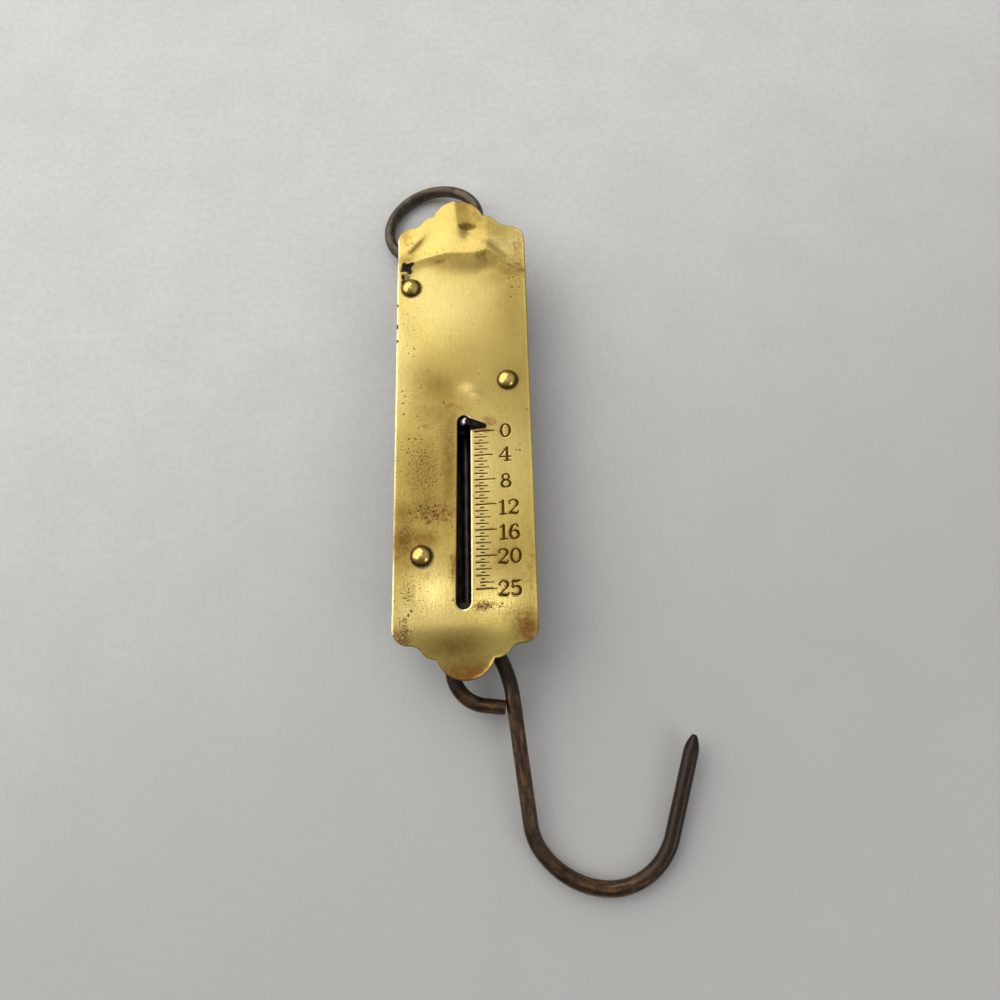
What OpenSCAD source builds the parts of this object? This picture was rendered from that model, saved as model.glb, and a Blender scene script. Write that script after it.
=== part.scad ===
// Straight spring balance with a brass face, lying on its back as it rests on a table.
// +X points to the scale's side, +Y runs up to the hanging ring, +Z is the normal of the face.
// The origin lies on the table, on the flat back of the case.

/* [Face plate] */
// Width of the face plate
face_w = 32; // [31:0.5:33]
// Distance from the middle of the plate to its shoulders
shoulder_y = 52.6; // [52:0.1:53]
// Thickness of the face plate
face_t = 0.8; // [0.6:0.1:1]
// Radius of the plate's outer corners
face_corner_r = 3.6; // [3:0.1:4]
// Radius of both arcs of the ogee beside each tab
ogee_r = 3.4; // [3:0.1:3.5]
// Height of the ogee
ogee_h = 3; // [2.8:0.1:3.2]
// Radius of the round tab at each end
tab_r = 6.65; // [6.5:0.05:6.8]
// Distance from the middle of the plate to the tip of each tab
tab_tip_y = 60.15; // [59.5:0.05:60.5]
// Width of the pointer's slot at its upper end
slot_top_w = 3.1; // [3:0.1:3.2]
// Width of the slot at its lower end
slot_end_w = 3.4; // [3.3:0.1:3.6]
// How far the hand-cut slot leans: its upper end lies so far to the right and its lower end to the left
slot_lean = 0.25; // [0:0.05:0.25]
// Upper end of the slot
slot_top_y = 0.5; // [0.5:0.1:1]
// Lower end of the slot
slot_end_y = -45.1; // [-45.5:0.1:-44.9]

/* [Back case] */
// Thickness of the case's sheet
sheet_t = 0.8; // [0.6:0.1:0.9]
// Outer width of the case's trough
case_w = 14; // [13.9:0.1:14.4]
// Height of the case, from the table to the back of the face plate
case_h = 13.2; // [13.1:0.1:13.6]
// Outer radius along the two back edges
case_edge_r = 3; // [2:0.1:3.4]
// Upper end of the case
case_top_y = 44; // [43.8:0.1:44.2]
// Lower end of the case
case_end_y = -46.2; // [-46.3:0.1:-46]
// Width over both flanges
flange_w = 29.2; // [29:0.1:30]
// Corner radius of the flanges
flange_corner_r = 3; // [1:0.5:4]

/* [Rivets] */
// Diameter of the rivets' domed heads
rivet_head_d = 4.5; // [4:0.1:5]
// Height of the domed heads
rivet_head_h = 1.1; // [0.8:0.1:1.3]
// Diameter of the rivets' shanks
rivet_d = 2.4; // [2:0.1:2.6]
// Diameter of the washers behind the flanges
washer_d = 3.8; // [3.6:0.1:3.8]
// Thickness of those washers
washer_t = 0.5; // [0.4:0.1:0.7]
// Diameter of the pins that hold the two blocks
block_pin_d = 2; // [1.6:0.1:2.2]

/* [Blocks and nuts] */
// Length of the head block, which carries the suspension eye
head_block_l = 5; // [4.5:0.1:5]
// Length of the guide block, which the drawbar slides in
guide_block_l = 3.3; // [3:0.1:3.3]
// Height of the guide block's top over the table
guide_block_h = 9.6; // [9.2:0.1:12]
// Width across the flats of the eye's nuts
nut_af = 5.5; // [5:0.1:5.5]
// Thickness of the nuts
nut_t = 2.2; // [1.8:0.1:2.2]
// Diameter of the suspension eye's shank
shank_d = 3; // [2.8:0.1:3]

/* [Spring] */
// Diameter of the spring's wire
spring_wire = 1.4; // [1.35:0.05:1.4]
// Mean diameter of the coils
spring_d = 9.8; // [9.7:0.1:9.9]
// Number of coils
spring_coils = 14.5; // [12:0.5:14.5]
// Radius of the bend that turns each end of the wire along the axis
spring_bend_r = 1.5; // [1.2:0.1:1.6]
// Diameter of the plugs' flanges, which the wire's ends meet
plug_flange_d = 11.3; // [11.2:0.1:11.4]
// Diameter of the plugs' necks, inside the coils
plug_neck_d = 7.2; // [7:0.1:7.3]

/* [Drawbar and pointer] */
// Diameter of the drawbar
rod_d = 2.4; // [2.2:0.1:2.5]
// Wire diameter of the drawbar's eye and of the suspension eye
eye_wire = 2.2; // [2:0.1:2.2]
// Mean radius of the drawbar's eye
hook_eye_r = 4; // [4:0.1:4.1]
// Height of the pointer's pin along the slot, with no load
pointer_y = -1.35; // [-1.4:0.05:-1.3]
// How far the pin stands to the right of the drawbar's middle
pointer_x = 0.25; // [0.2:0.05:0.3]
// Diameter of the pointer's pin
pointer_pin_d = 2; // [1.8:0.1:2]
// Thickness of the pointer's blade
blade_t = 0.8; // [0.6:0.1:1]
// Diameter of the round knob on the blade
knob_d = 2.4; // [2:0.1:2.4]
// Height of that knob
knob_h = 0.7; // [0.4:0.1:1]
// Gap between the face plate and the blade
blade_gap = 0.2; // [0.2:0.05:0.4]

/* [Ring] */
// Wire diameter of the hanging ring
ring_wire = 3; // [2.8:0.1:3.1]
// Mean radius of the ring
ring_r = 12.35; // [12:0.05:13]
// Mean radius of the suspension eye
ring_eye_r = 4.3; // [4.3:0.05:4.4]
// Height of the suspension eye's centre above the middle of the plate
ring_eye_y = 51.7; // [51.7:0.1:52]
// Heading of the ring's wire where it runs through the eye, from +X
ring_heading = 43; // [38:1:44]

/* [Hook] */
// Wire diameter of the hook
hook_wire = 3.4; // [3.2:0.1:3.4]
// Centre of the drawbar's eye, where the hook hangs
hook_eye_y = -52.4; // [-52.5:0.1:-52.3]
// Heading of the hook's wire where it runs through that eye, from +X
hook_heading = 21.5; // [20:0.5:23]
// Length of the filed point
point_l = 4; // [3:0.5:5]

/* [Hidden] */
$fn = 64;

// Radial clearances of a fixed joint and of the sliding drawbar
fixed_gap = 0.02;
running_gap = 0.05;
// What a cutting tool runs past the face it cuts
past = 1;
// How far two shapes that are joined run into each other
join = 0.1;

face_z = case_h + face_t;
trough_w = case_w - 2 * sheet_t;
trough_edge_r = case_edge_r - sheet_t;
axis_z = (sheet_t + case_h) / 2;

// The small step where the ogee meets the tab
notch_step = 0.3;

// Centres of the three face rivets
RIVETS = [[-12.7, 35.4], [10.6, 9.4], [-9.7, -32.8]];
rivet_tail_h = 0.7;
rivet_tail_d = 3.2;

block_pin_head_d = 3.4;
block_pin_head_h = 0.7;
block_pin_l = 2.6;

head_block_y = case_top_y - head_block_l;
head_pin_y = head_block_y + head_block_l / 2;
guide_top_y = case_end_y + guide_block_l;
guide_pin_y = case_end_y + guide_block_l / 2;
upper_flange_y = head_block_y - nut_t;
plug_flange_t = 1.2;
upper_neck_l = 5;
spring_top_y = upper_flange_y - plug_flange_t;

lower_flange_y = 3;
lower_neck_l = 3;
boss_d = 7;
boss_wall = 0.35;
boss_end_y = pointer_y - pointer_pin_d / 2 - boss_wall;
drawbar_nut_af = 5;
// How far a bar's end stands out of the last piece on it
bar_end = 0.4;
rod_top_y = lower_flange_y + lower_neck_l + nut_t + bar_end;

// Where an eye's wire widens into its bar
neck_l = 1.2;
neck_d = 1.8;

spring_r = spring_d / 2;
spring_l = spring_top_y - lower_flange_y;
spring_pitch = (spring_l - 2 * spring_wire - 2 * spring_bend_r) / spring_coils;
spring_slope = atan(spring_pitch / (2 * PI * spring_r));
spring_sides = 6;
rings_per_coil = 8;
bend_rings = 4;

// The pointer's blade is a round head under the knob, a belly and a small round tip.
// Centres are from the pin, and each arc runs to where the straight edge to the next begins
blade_head = [0.55, -0.2];
blade_head_r = 1.3;
blade_belly = [1.75, -1.05];
blade_belly_r = 1.25;
blade_tip = [4.8, -1.3];
blade_tip_r = 0.5;
blade_upper_turn = 66;
blade_head_end = 235;
blade_lower_turn = 279;

// The ring rests on the table at the side away from its eye
rest_gap = 0.02;
ring_tilt = asin((axis_z - ring_wire / 2 - rest_gap) / (2 * ring_r));

// The hook's wire in its own flat, both ways from the drawbar's eye.
// A step is a straight [length] or a bend [radius, turn], and a left turn is positive.
HOOK_DOWN = [
    [5.6, -83.3], [24, -21.7], [26.5],
    [11.6, 27.9], [18.2, 48.6], [14.2, 80], [21.5 - point_l],
];
HOOK_BACK = [[5.6, 77.2], [8, 74.5], [4.6]];
bowl_steps = 5;
bowl_r = 14.2;
hook_sides = 16;
turn_per_ring = 8;
// The filed point, as shares of its length and of the wire's radius
POINT_SHAPE = [[0.6, 0.72], [0.9, 0.52], [1, 0.25]];

// Where a wire that stands at [x, y, heading] is after one step
function after_step(at, step) =
    len(step) == 1
        ? [at.x + step[0] * cos(at.z), at.y + step[0] * sin(at.z), at.z]
        : let (side = sign(step[1]), turned = at.z + step[1])
          [at.x + side * step[0] * (sin(turned) - sin(at.z)),
           at.y - side * step[0] * (cos(turned) - cos(at.z)),
           turned];

// Where it is after the first count steps
function walk(at, steps, count) =
    count == 0 ? at : after_step(walk(at, steps, count - 1), steps[count - 1]);

// The bowl's lowest point is where its wire runs parallel to the hinge line again
bowl_start = walk([0, 0, hook_heading], HOOK_DOWN, bowl_steps);
bowl_centre = [
    bowl_start.x - bowl_r * sin(bowl_start.z),
    bowl_start.y + bowl_r * cos(bowl_start.z),
];
hook_reach = bowl_centre * [sin(hook_heading), -cos(hook_heading)] + bowl_r;
hook_tilt = asin((axis_z - hook_wire / 2 - rest_gap) / hook_reach);

BRASS = [0.76, 0.62, 0.28];
BRIGHT_BRASS = [0.82, 0.68, 0.34];
DARK_STEEL = [0.24, 0.22, 0.21];
WORN_STEEL = [0.30, 0.25, 0.20];
SPRING_STEEL = [0.45, 0.45, 0.47];

// A flat shape in X and Z, drawn out along Y
module along_y(from, to) {
    translate([0, to, 0]) rotate([90, 0, 0]) linear_extrude(to - from) children();
}

// A round bar along Y on the balance's axis
module axis_bar(from, to, d) {
    translate([0, from, axis_z]) rotate([-90, 0, 0]) cylinder(d = d, h = to - from);
}

// A hexagon nut on the balance's axis, bored to clear a bar
module axis_nut(from, af, bar_d) {
    difference() {
        translate([0, from, axis_z]) rotate([-90, 0, 0])
            cylinder(d = af / cos(30), h = nut_t, $fn = 6);
        axis_bar(from - past, from + nut_t + past, bar_d + 2 * fixed_gap);
    }
}

// A rectangle whose four corners are round
module rounded_rectangle(w, from, to, r) {
    translate([-w / 2 + r, from]) square([w - 2 * r, to - from]);
    translate([-w / 2, from + r]) square([w, to - from - 2 * r]);
    for (x = [-w / 2 + r, w / 2 - r], y = [from + r, to - r]) translate([x, y]) circle(r);
}

// A trough's section, filled: square at the top, round along the bottom
module trough_section(w, bottom, top, r) {
    translate([-w / 2, bottom + r]) square([w, top - bottom - r]);
    translate([-w / 2 + r, bottom]) square([w - 2 * r, r + join]);
    for (x = [-w / 2 + r, w / 2 - r]) translate([x, bottom + r]) circle(r);
}

// A domed head on a flat face
module dome(d, h) {
    ball_r = (d * d / 4 + h * h) / (2 * h);
    intersection() {
        translate([0, 0, h - ball_r]) sphere(ball_r);
        cylinder(d = d, h = h);
    }
}

// A round skin over rings of points, closed at both ends
module skin(rings) {
    sides = len(rings[0]);
    last = len(rings) - 1;
    walls = [
        for (i = [0 : last - 1], k = [0 : sides - 1]) let (n = (k + 1) % sides)
            each [[i * sides + k, i * sides + n, (i + 1) * sides + n],
                  [i * sides + k, (i + 1) * sides + n, (i + 1) * sides + k]]
    ];
    first_end = [for (k = [1 : sides - 2]) [0, k + 1, k]];
    last_end = [for (k = [1 : sides - 2]) [last * sides, last * sides + k, last * sides + k + 1]];
    polyhedron(points = [for (ring = rings) each ring], faces = concat(walls, first_end, last_end));
}

// Points of an arc about a centre
function arc_points(centre, r, from, to, count) = [
    for (i = [0 : count]) let (a = from + (to - from) * i / count) centre + r * [cos(a), sin(a)]
];

// One quarter of the plate's outline, from the middle of its right side to the tip of its upper tab
function face_quarter() = let (
    ogee_turn = acos(1 - ogee_h / (2 * ogee_r)),
    tab_y = tab_tip_y - tab_r,
    notch_y = shoulder_y + ogee_h,
    notch_a = asin((notch_y - tab_y) / tab_r),
    inner_x = tab_r * cos(notch_a) + notch_step,
    outer_x = inner_x + 2 * ogee_r * sin(ogee_turn),
    corner = [face_w / 2 - face_corner_r, shoulder_y - face_corner_r]
) concat(
    arc_points(corner, face_corner_r, 0, 90, 10),
    arc_points([outer_x, shoulder_y + ogee_r], ogee_r, 270, 270 - ogee_turn, 8),
    arc_points([inner_x, notch_y - ogee_r], ogee_r, 90 - ogee_turn, 90, 8),
    arc_points([0, tab_y], tab_r, notch_a, 90, 12)
);

module face_plate() {
    quarter = face_quarter();
    count = len(quarter);
    backwards = [for (i = [count - 2 : -1 : 0]) quarter[i]];
    upper = concat(quarter, [for (p = backwards) [-p.x, p.y]]);
    lower = [for (i = [len(upper) - 1 : -1 : 0]) [upper[i].x, -upper[i].y]];
    color(BRASS) translate([0, 0, case_h]) linear_extrude(face_t) difference() {
        polygon(concat(upper, lower));
        slot();
        for (p = RIVETS) translate(p) circle(d = rivet_d + 2 * fixed_gap);
    }
}

// The pointer's slot: two round ends and the straight cut between them
module slot() {
    top = [slot_lean, slot_top_y - slot_top_w / 2];
    end = [-slot_lean, slot_end_y + slot_end_w / 2];
    translate(top) circle(d = slot_top_w);
    translate(end) circle(d = slot_end_w);
    polygon([
        top - [slot_top_w / 2, 0], end - [slot_end_w / 2, 0],
        end + [slot_end_w / 2, 0], top + [slot_top_w / 2, 0],
    ]);
}

module back_case() {
    color(DARK_STEEL) difference() {
        union() {
            along_y(case_end_y, case_top_y) trough_section(case_w, 0, case_h, case_edge_r);
            translate([0, 0, case_h - sheet_t]) linear_extrude(sheet_t)
                rounded_rectangle(flange_w, case_end_y, case_top_y, flange_corner_r);
        }
        along_y(case_end_y - past, case_top_y + past) {
            trough_section(trough_w, sheet_t, case_h + past, trough_edge_r);
        }
        for (p = RIVETS) translate([p.x, p.y, case_h - 2 * sheet_t])
            cylinder(d = rivet_d + 2 * fixed_gap, h = 3 * sheet_t);
        for (y = [head_pin_y, guide_pin_y]) translate([-case_w, y, axis_z])
            rotate([0, 90, 0]) cylinder(d = block_pin_d + 2 * fixed_gap, h = 2 * case_w);
    }
}

// A face rivet: domed head on the plate, tail peened over its washer behind the flange
module face_rivet(place) {
    washer_z = case_h - sheet_t - washer_t;
    color(BRIGHT_BRASS) translate(place) {
        translate([0, 0, face_z]) dome(rivet_head_d, rivet_head_h);
        translate([0, 0, washer_z]) cylinder(d = rivet_d, h = face_z - washer_z);
        translate([0, 0, washer_z]) mirror([0, 0, 1]) dome(rivet_tail_d, rivet_tail_h);
    }
}

module rivet_washers() {
    color(BRASS) for (p = RIVETS) translate([p.x, p.y, case_h - sheet_t - washer_t])
        difference() {
            cylinder(d = washer_d, h = washer_t);
            translate([0, 0, -past]) cylinder(d = rivet_d + 2 * fixed_gap, h = washer_t + 2 * past);
        }
}

// A block that fills the trough up to a height, bored on the axis and drilled for its two pins
module trough_block(from, to, top, bore_d, pin_y) {
    difference() {
        along_y(from, to) trough_section(trough_w, sheet_t, top, trough_edge_r);
        axis_bar(from - past, to + past, bore_d);
        for (side = [-1, 1]) block_pin_at(side, pin_y)
            translate([0, 0, -block_pin_l - sheet_t - fixed_gap])
                cylinder(d = block_pin_d + 2 * fixed_gap, h = block_pin_l + sheet_t + past);
    }
}

// Puts its child on the outside of the case's left or right wall, with +Z pointing outwards
module block_pin_at(side, y) {
    translate([side * case_w / 2, y, axis_z]) rotate([0, side * 90, 0]) children();
}

module block_pins(y) {
    color(DARK_STEEL) for (side = [-1, 1]) block_pin_at(side, y) {
        dome(block_pin_head_d, block_pin_head_h);
        translate([0, 0, -block_pin_l - sheet_t]) cylinder(d = block_pin_d, h = block_pin_l + sheet_t);
    }
}

module head_block() {
    color(BRASS) trough_block(head_block_y, case_top_y, case_h, shank_d + 2 * fixed_gap, head_pin_y);
}

module guide_block() {
    color(DARK_STEEL)
        trough_block(case_end_y, guide_top_y, guide_block_h, rod_d + 2 * running_gap, guide_pin_y);
}

// An eye in the YZ plane on a neck that widens into its bar, above it (1) or below it (-1)
module eye_with_neck(y, eye_r, bar_side, bar_d) {
    translate([0, y, axis_z]) rotate([0, 90, 0])
        rotate_extrude() translate([eye_r, 0]) circle(d = eye_wire);
    translate([0, y + bar_side * eye_r, axis_z]) rotate([-bar_side * 90, 0, 0])
        cylinder(d1 = neck_d, d2 = bar_d, h = neck_l);
}

module suspension_eye() {
    color(DARK_STEEL) {
        eye_with_neck(ring_eye_y, ring_eye_r, -1, shank_d);
        axis_bar(spring_top_y - upper_neck_l - bar_end, ring_eye_y - ring_eye_r - neck_l, shank_d);
    }
}

module eye_nut() {
    color(DARK_STEEL) axis_nut(case_top_y, nut_af, shank_d);
}

module eye_lock_nut() {
    color(DARK_STEEL) axis_nut(upper_flange_y, nut_af, shank_d);
}

module upper_spring_plug() {
    color(BRASS) difference() {
        union() {
            axis_bar(spring_top_y, upper_flange_y, plug_flange_d);
            axis_bar(spring_top_y - upper_neck_l, spring_top_y, plug_neck_d);
        }
        axis_bar(spring_top_y - upper_neck_l - past, upper_flange_y + past, shank_d + 2 * fixed_gap);
    }
}

module lower_spring_plug() {
    color(DARK_STEEL) difference() {
        union() {
            axis_bar(boss_end_y, lower_flange_y, boss_d);
            axis_bar(lower_flange_y - plug_flange_t, lower_flange_y, plug_flange_d);
            axis_bar(lower_flange_y, lower_flange_y + lower_neck_l, plug_neck_d);
        }
        axis_bar(boss_end_y - past, lower_flange_y + lower_neck_l + past, rod_d + 2 * fixed_gap);
        translate([pointer_x, pointer_y, axis_z])
            cylinder(d = pointer_pin_d + 2 * fixed_gap, h = boss_d);
    }
}

module drawbar() {
    color(DARK_STEEL) {
        eye_with_neck(hook_eye_y, hook_eye_r, 1, rod_d);
        axis_bar(hook_eye_y + hook_eye_r + neck_l, rod_top_y, rod_d);
    }
}

module drawbar_nut() {
    color(DARK_STEEL) axis_nut(lower_flange_y + lower_neck_l, drawbar_nut_af, rod_d);
}

// Pin through the slot, a blade that points at the scale, and a round knob on its head
module pointer() {
    blade_z = face_z + blade_gap;
    pin_z = axis_z + rod_d / 2 + 2 * running_gap;
    outline = concat(
        arc_points(blade_head, blade_head_r, blade_upper_turn, blade_head_end, 16),
        arc_points(blade_belly, blade_belly_r, blade_head_end, blade_lower_turn, 5),
        arc_points(blade_tip, blade_tip_r, blade_lower_turn - 360, blade_upper_turn, 10)
    );
    color(DARK_STEEL) translate([pointer_x, pointer_y, 0]) {
        translate([0, 0, pin_z]) cylinder(d = pointer_pin_d, h = blade_z + blade_t / 2 - pin_z);
        translate([blade_head.x, blade_head.y, blade_z + blade_t]) dome(knob_d, knob_h);
        translate([0, 0, blade_z]) linear_extrude(blade_t) polygon(outline);
    }
}

// The spring's wire in three stretches, as [distance round the coil, height, slope of the wire]
function spring_path() = let (
    bend_start_y = lower_flange_y + spring_wire,
    bend_round = spring_bend_r * (1 - sin(spring_slope)),
    bend_rise = spring_bend_r * cos(spring_slope),
    coil_start = [bend_round, bend_start_y + bend_rise],
    coil_end = [
        bend_round + 2 * PI * spring_r * spring_coils,
        spring_top_y - spring_wire - bend_rise,
    ],
    coil_rings = round(spring_coils * rings_per_coil)
) concat(
    [[0, lower_flange_y, 90]],
    [for (i = [0 : bend_rings - 1]) let (a = 90 - (90 - spring_slope) * i / bend_rings)
        [spring_bend_r * (1 - sin(a)), bend_start_y + spring_bend_r * cos(a), a]],
    [for (i = [0 : coil_rings]) let (part = coil_start + (coil_end - coil_start) * i / coil_rings)
        [part.x, part.y, spring_slope]],
    [for (i = [1 : bend_rings]) let (a = spring_slope + (90 - spring_slope) * i / bend_rings)
        [coil_end.x + spring_bend_r * (sin(a) - sin(spring_slope)),
         coil_end.y + spring_bend_r * (cos(spring_slope) - cos(a)), a]],
    [[coil_end.x + bend_round, spring_top_y, 90]]
);

// The six points of the wire's skin at one place on its path
function spring_ring(place) = let (
    around = place[0] / spring_r * 180 / PI,
    out = [cos(around), 0, sin(around)],
    forward = [-sin(around) * cos(place[2]), sin(place[2]), cos(around) * cos(place[2])],
    across = cross(forward, out),
    centre = [spring_r * out.x, place[1], axis_z + spring_r * out.z]
) [
    for (k = [0 : spring_sides - 1]) let (a = 360 * k / spring_sides)
        centre + spring_wire / 2 * (cos(a) * out + sin(a) * across)
];

module extension_spring() {
    rings = [for (place = spring_path()) spring_ring(place)];
    last = len(rings) - 1;
    // Rings from half a coil to nearly two coils further along
    gaps = [
        for (i = [0 : last - rings_per_coil / 2])
            for (j = [i + rings_per_coil / 2 : min(last, i + 2 * rings_per_coil - 2)])
                for (p = rings[i], q = rings[j]) norm(p - q)
    ];
    echo(least_gap_between_coils = min(gaps));
    color(SPRING_STEEL) skin(rings);
}

// The same steps walked from their far end
function reversed(steps) = [
    for (i = [len(steps) - 1 : -1 : 0]) len(steps[i]) == 1 ? steps[i] : [steps[i][0], -steps[i][1]]
];

// Places along a bent wire, one for about every turn_per_ring degrees of each bend
function wire_places(at, steps) = [
    at,
    for (i = [0 : len(steps) - 1])
        let (from = walk(at, steps, i), step = steps[i],
             count = len(step) == 1 ? 1 : ceil(abs(step[1]) / turn_per_ring))
            for (k = [1 : count])
                after_step(from, len(step) == 1 ? step : [step[0], step[1] * k / count]),
];

// The points round the wire at one place, where its radius is r
function wire_ring(place, r) = [
    for (k = [0 : hook_sides - 1]) let (a = 360 * k / hook_sides)
        [place.x - r * cos(a) * sin(place.z), place.y + r * cos(a) * cos(place.z), r * sin(a)]
];

// The hook from the butt end of its eye to its filed point
module load_hook() {
    butt = walk([0, 0, hook_heading + 180], HOOK_BACK, len(HOOK_BACK));
    places = wire_places([butt.x, butt.y, butt.z - 180], concat(reversed(HOOK_BACK), HOOK_DOWN));
    tip = places[len(places) - 1];
    point = [
        for (part = POINT_SHAPE)
            wire_ring(after_step(tip, [part[0] * point_l]), part[1] * hook_wire / 2)
    ];
    color(WORN_STEEL) translate([0, hook_eye_y, axis_z])
        rotate([0, 0, hook_heading]) rotate([hook_tilt, 0, 0]) rotate([0, 0, -hook_heading])
            skin(concat([for (place = places) wire_ring(place, hook_wire / 2)], point));
}

module hanging_ring() {
    color(DARK_STEEL) translate([0, ring_eye_y, axis_z])
        rotate([0, 0, ring_heading]) rotate([-ring_tilt, 0, 0]) translate([0, ring_r, 0])
            rotate_extrude() translate([ring_r, 0]) circle(d = ring_wire);
}

face_plate();
back_case();
face_rivet(RIVETS[0]);  // face_rivet_1
face_rivet(RIVETS[1]);  // face_rivet_2
face_rivet(RIVETS[2]);  // face_rivet_3
rivet_washers();
head_block();
block_pins(head_pin_y);  // head_block_pins
suspension_eye();
eye_nut();
eye_lock_nut();
upper_spring_plug();
extension_spring();
lower_spring_plug();
drawbar();
drawbar_nut();
pointer();
guide_block();
block_pins(guide_pin_y);  // guide_block_pins
load_hook();
hanging_ring();
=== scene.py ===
import math

import bmesh
import bpy
import numpy as np
from mathutils import Matrix, Vector, noise
from mathutils.geometry import delaunay_2d_cdt


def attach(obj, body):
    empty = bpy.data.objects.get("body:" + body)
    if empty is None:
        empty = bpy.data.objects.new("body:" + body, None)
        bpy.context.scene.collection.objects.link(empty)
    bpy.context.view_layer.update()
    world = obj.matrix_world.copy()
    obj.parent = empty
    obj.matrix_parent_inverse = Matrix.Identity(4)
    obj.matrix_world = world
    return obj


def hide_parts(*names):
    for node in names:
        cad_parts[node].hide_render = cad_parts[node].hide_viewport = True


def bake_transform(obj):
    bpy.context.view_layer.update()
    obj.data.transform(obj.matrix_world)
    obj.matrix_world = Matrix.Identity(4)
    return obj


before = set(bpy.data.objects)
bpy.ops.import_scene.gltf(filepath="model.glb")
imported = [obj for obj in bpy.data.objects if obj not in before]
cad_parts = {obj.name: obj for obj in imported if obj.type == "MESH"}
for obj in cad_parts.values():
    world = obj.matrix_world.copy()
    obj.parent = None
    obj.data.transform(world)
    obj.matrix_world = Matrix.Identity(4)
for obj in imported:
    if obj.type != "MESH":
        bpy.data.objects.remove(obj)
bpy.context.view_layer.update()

MM = 0.001

# Camera at the photograph's viewing angle. Its place is in millimetres

CAMERA_PLACE = Vector((14.62, -69.11, 176.91))
CAMERA_RIGHT = Vector((0.9986, -0.0240, -0.0464))
CAMERA_UP = Vector((0.0363, 0.9580, 0.2844))
CAMERA_BACK = Vector((0.0376, -0.2857, 0.9576))
CAMERA_LENS = 27.04
SENSOR = 36
CLIP_START = 0.01


def placed(name, data):
    """A new object in the scene."""
    thing = bpy.data.objects.new(name, data)
    bpy.context.scene.collection.objects.link(thing)
    return thing


def make_camera():
    data = bpy.data.cameras.new("camera")
    data.lens = CAMERA_LENS
    data.sensor_width = SENSOR
    data.clip_start = CLIP_START
    camera = placed("camera", data)
    turn = Matrix((CAMERA_RIGHT, CAMERA_UP, CAMERA_BACK)).transposed()
    camera.matrix_world = Matrix.Translation(CAMERA_PLACE * MM) @ turn.to_4x4()
    bpy.context.scene.camera = camera


# Materials

def rgb(red, green, blue):
    """A colour that is written as it looks on a screen, from 0 to 255."""
    linear = []
    for value in (red, green, blue):
        part = value / 255
        linear.append(part / 12.92 if part <= 0.04045 else ((part + 0.055) / 1.055) ** 2.4)
    return (*linear, 1.0)


class Tree:
    """The nodes of a world or a material, added one at a time."""

    def __init__(self, owner):
        owner.use_nodes = True
        self.nodes = owner.node_tree.nodes
        self.links = owner.node_tree.links

    def put(self, socket, value):
        if isinstance(value, bpy.types.NodeSocket):
            self.links.new(value, socket)
        else:
            socket.default_value = value

    def add(self, kind, inputs, output=0, **settings):
        node = self.nodes.new("ShaderNode" + kind)
        for name, value in settings.items():
            setattr(node, name, value)
        for name, value in inputs.items():
            self.put(node.inputs[name], value)
        return node.outputs[output]

    def math(self, operation, *values):
        return self.add("Math", dict(enumerate(values)), operation=operation)

    def plus(self, first, second, share=1.0):
        """The first value plus a share of the second."""
        return self.math("MULTIPLY_ADD", second, share, first)

    def times(self, first, second):
        return self.math("MULTIPLY", first, second)

    def most(self, first, *others):
        """The highest of several values."""
        for other in others:
            first = self.math("MAXIMUM", first, other)
        return first

    def step(self, value, low, high, start=0.0, end=1.0):
        """Rises smoothly from start to end as value runs from low to high."""
        inputs = {"Value": value, "From Min": low, "From Max": high, "To Min": start, "To Max": end}
        return self.add("MapRange", inputs, interpolation_type="SMOOTHSTEP")


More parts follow.
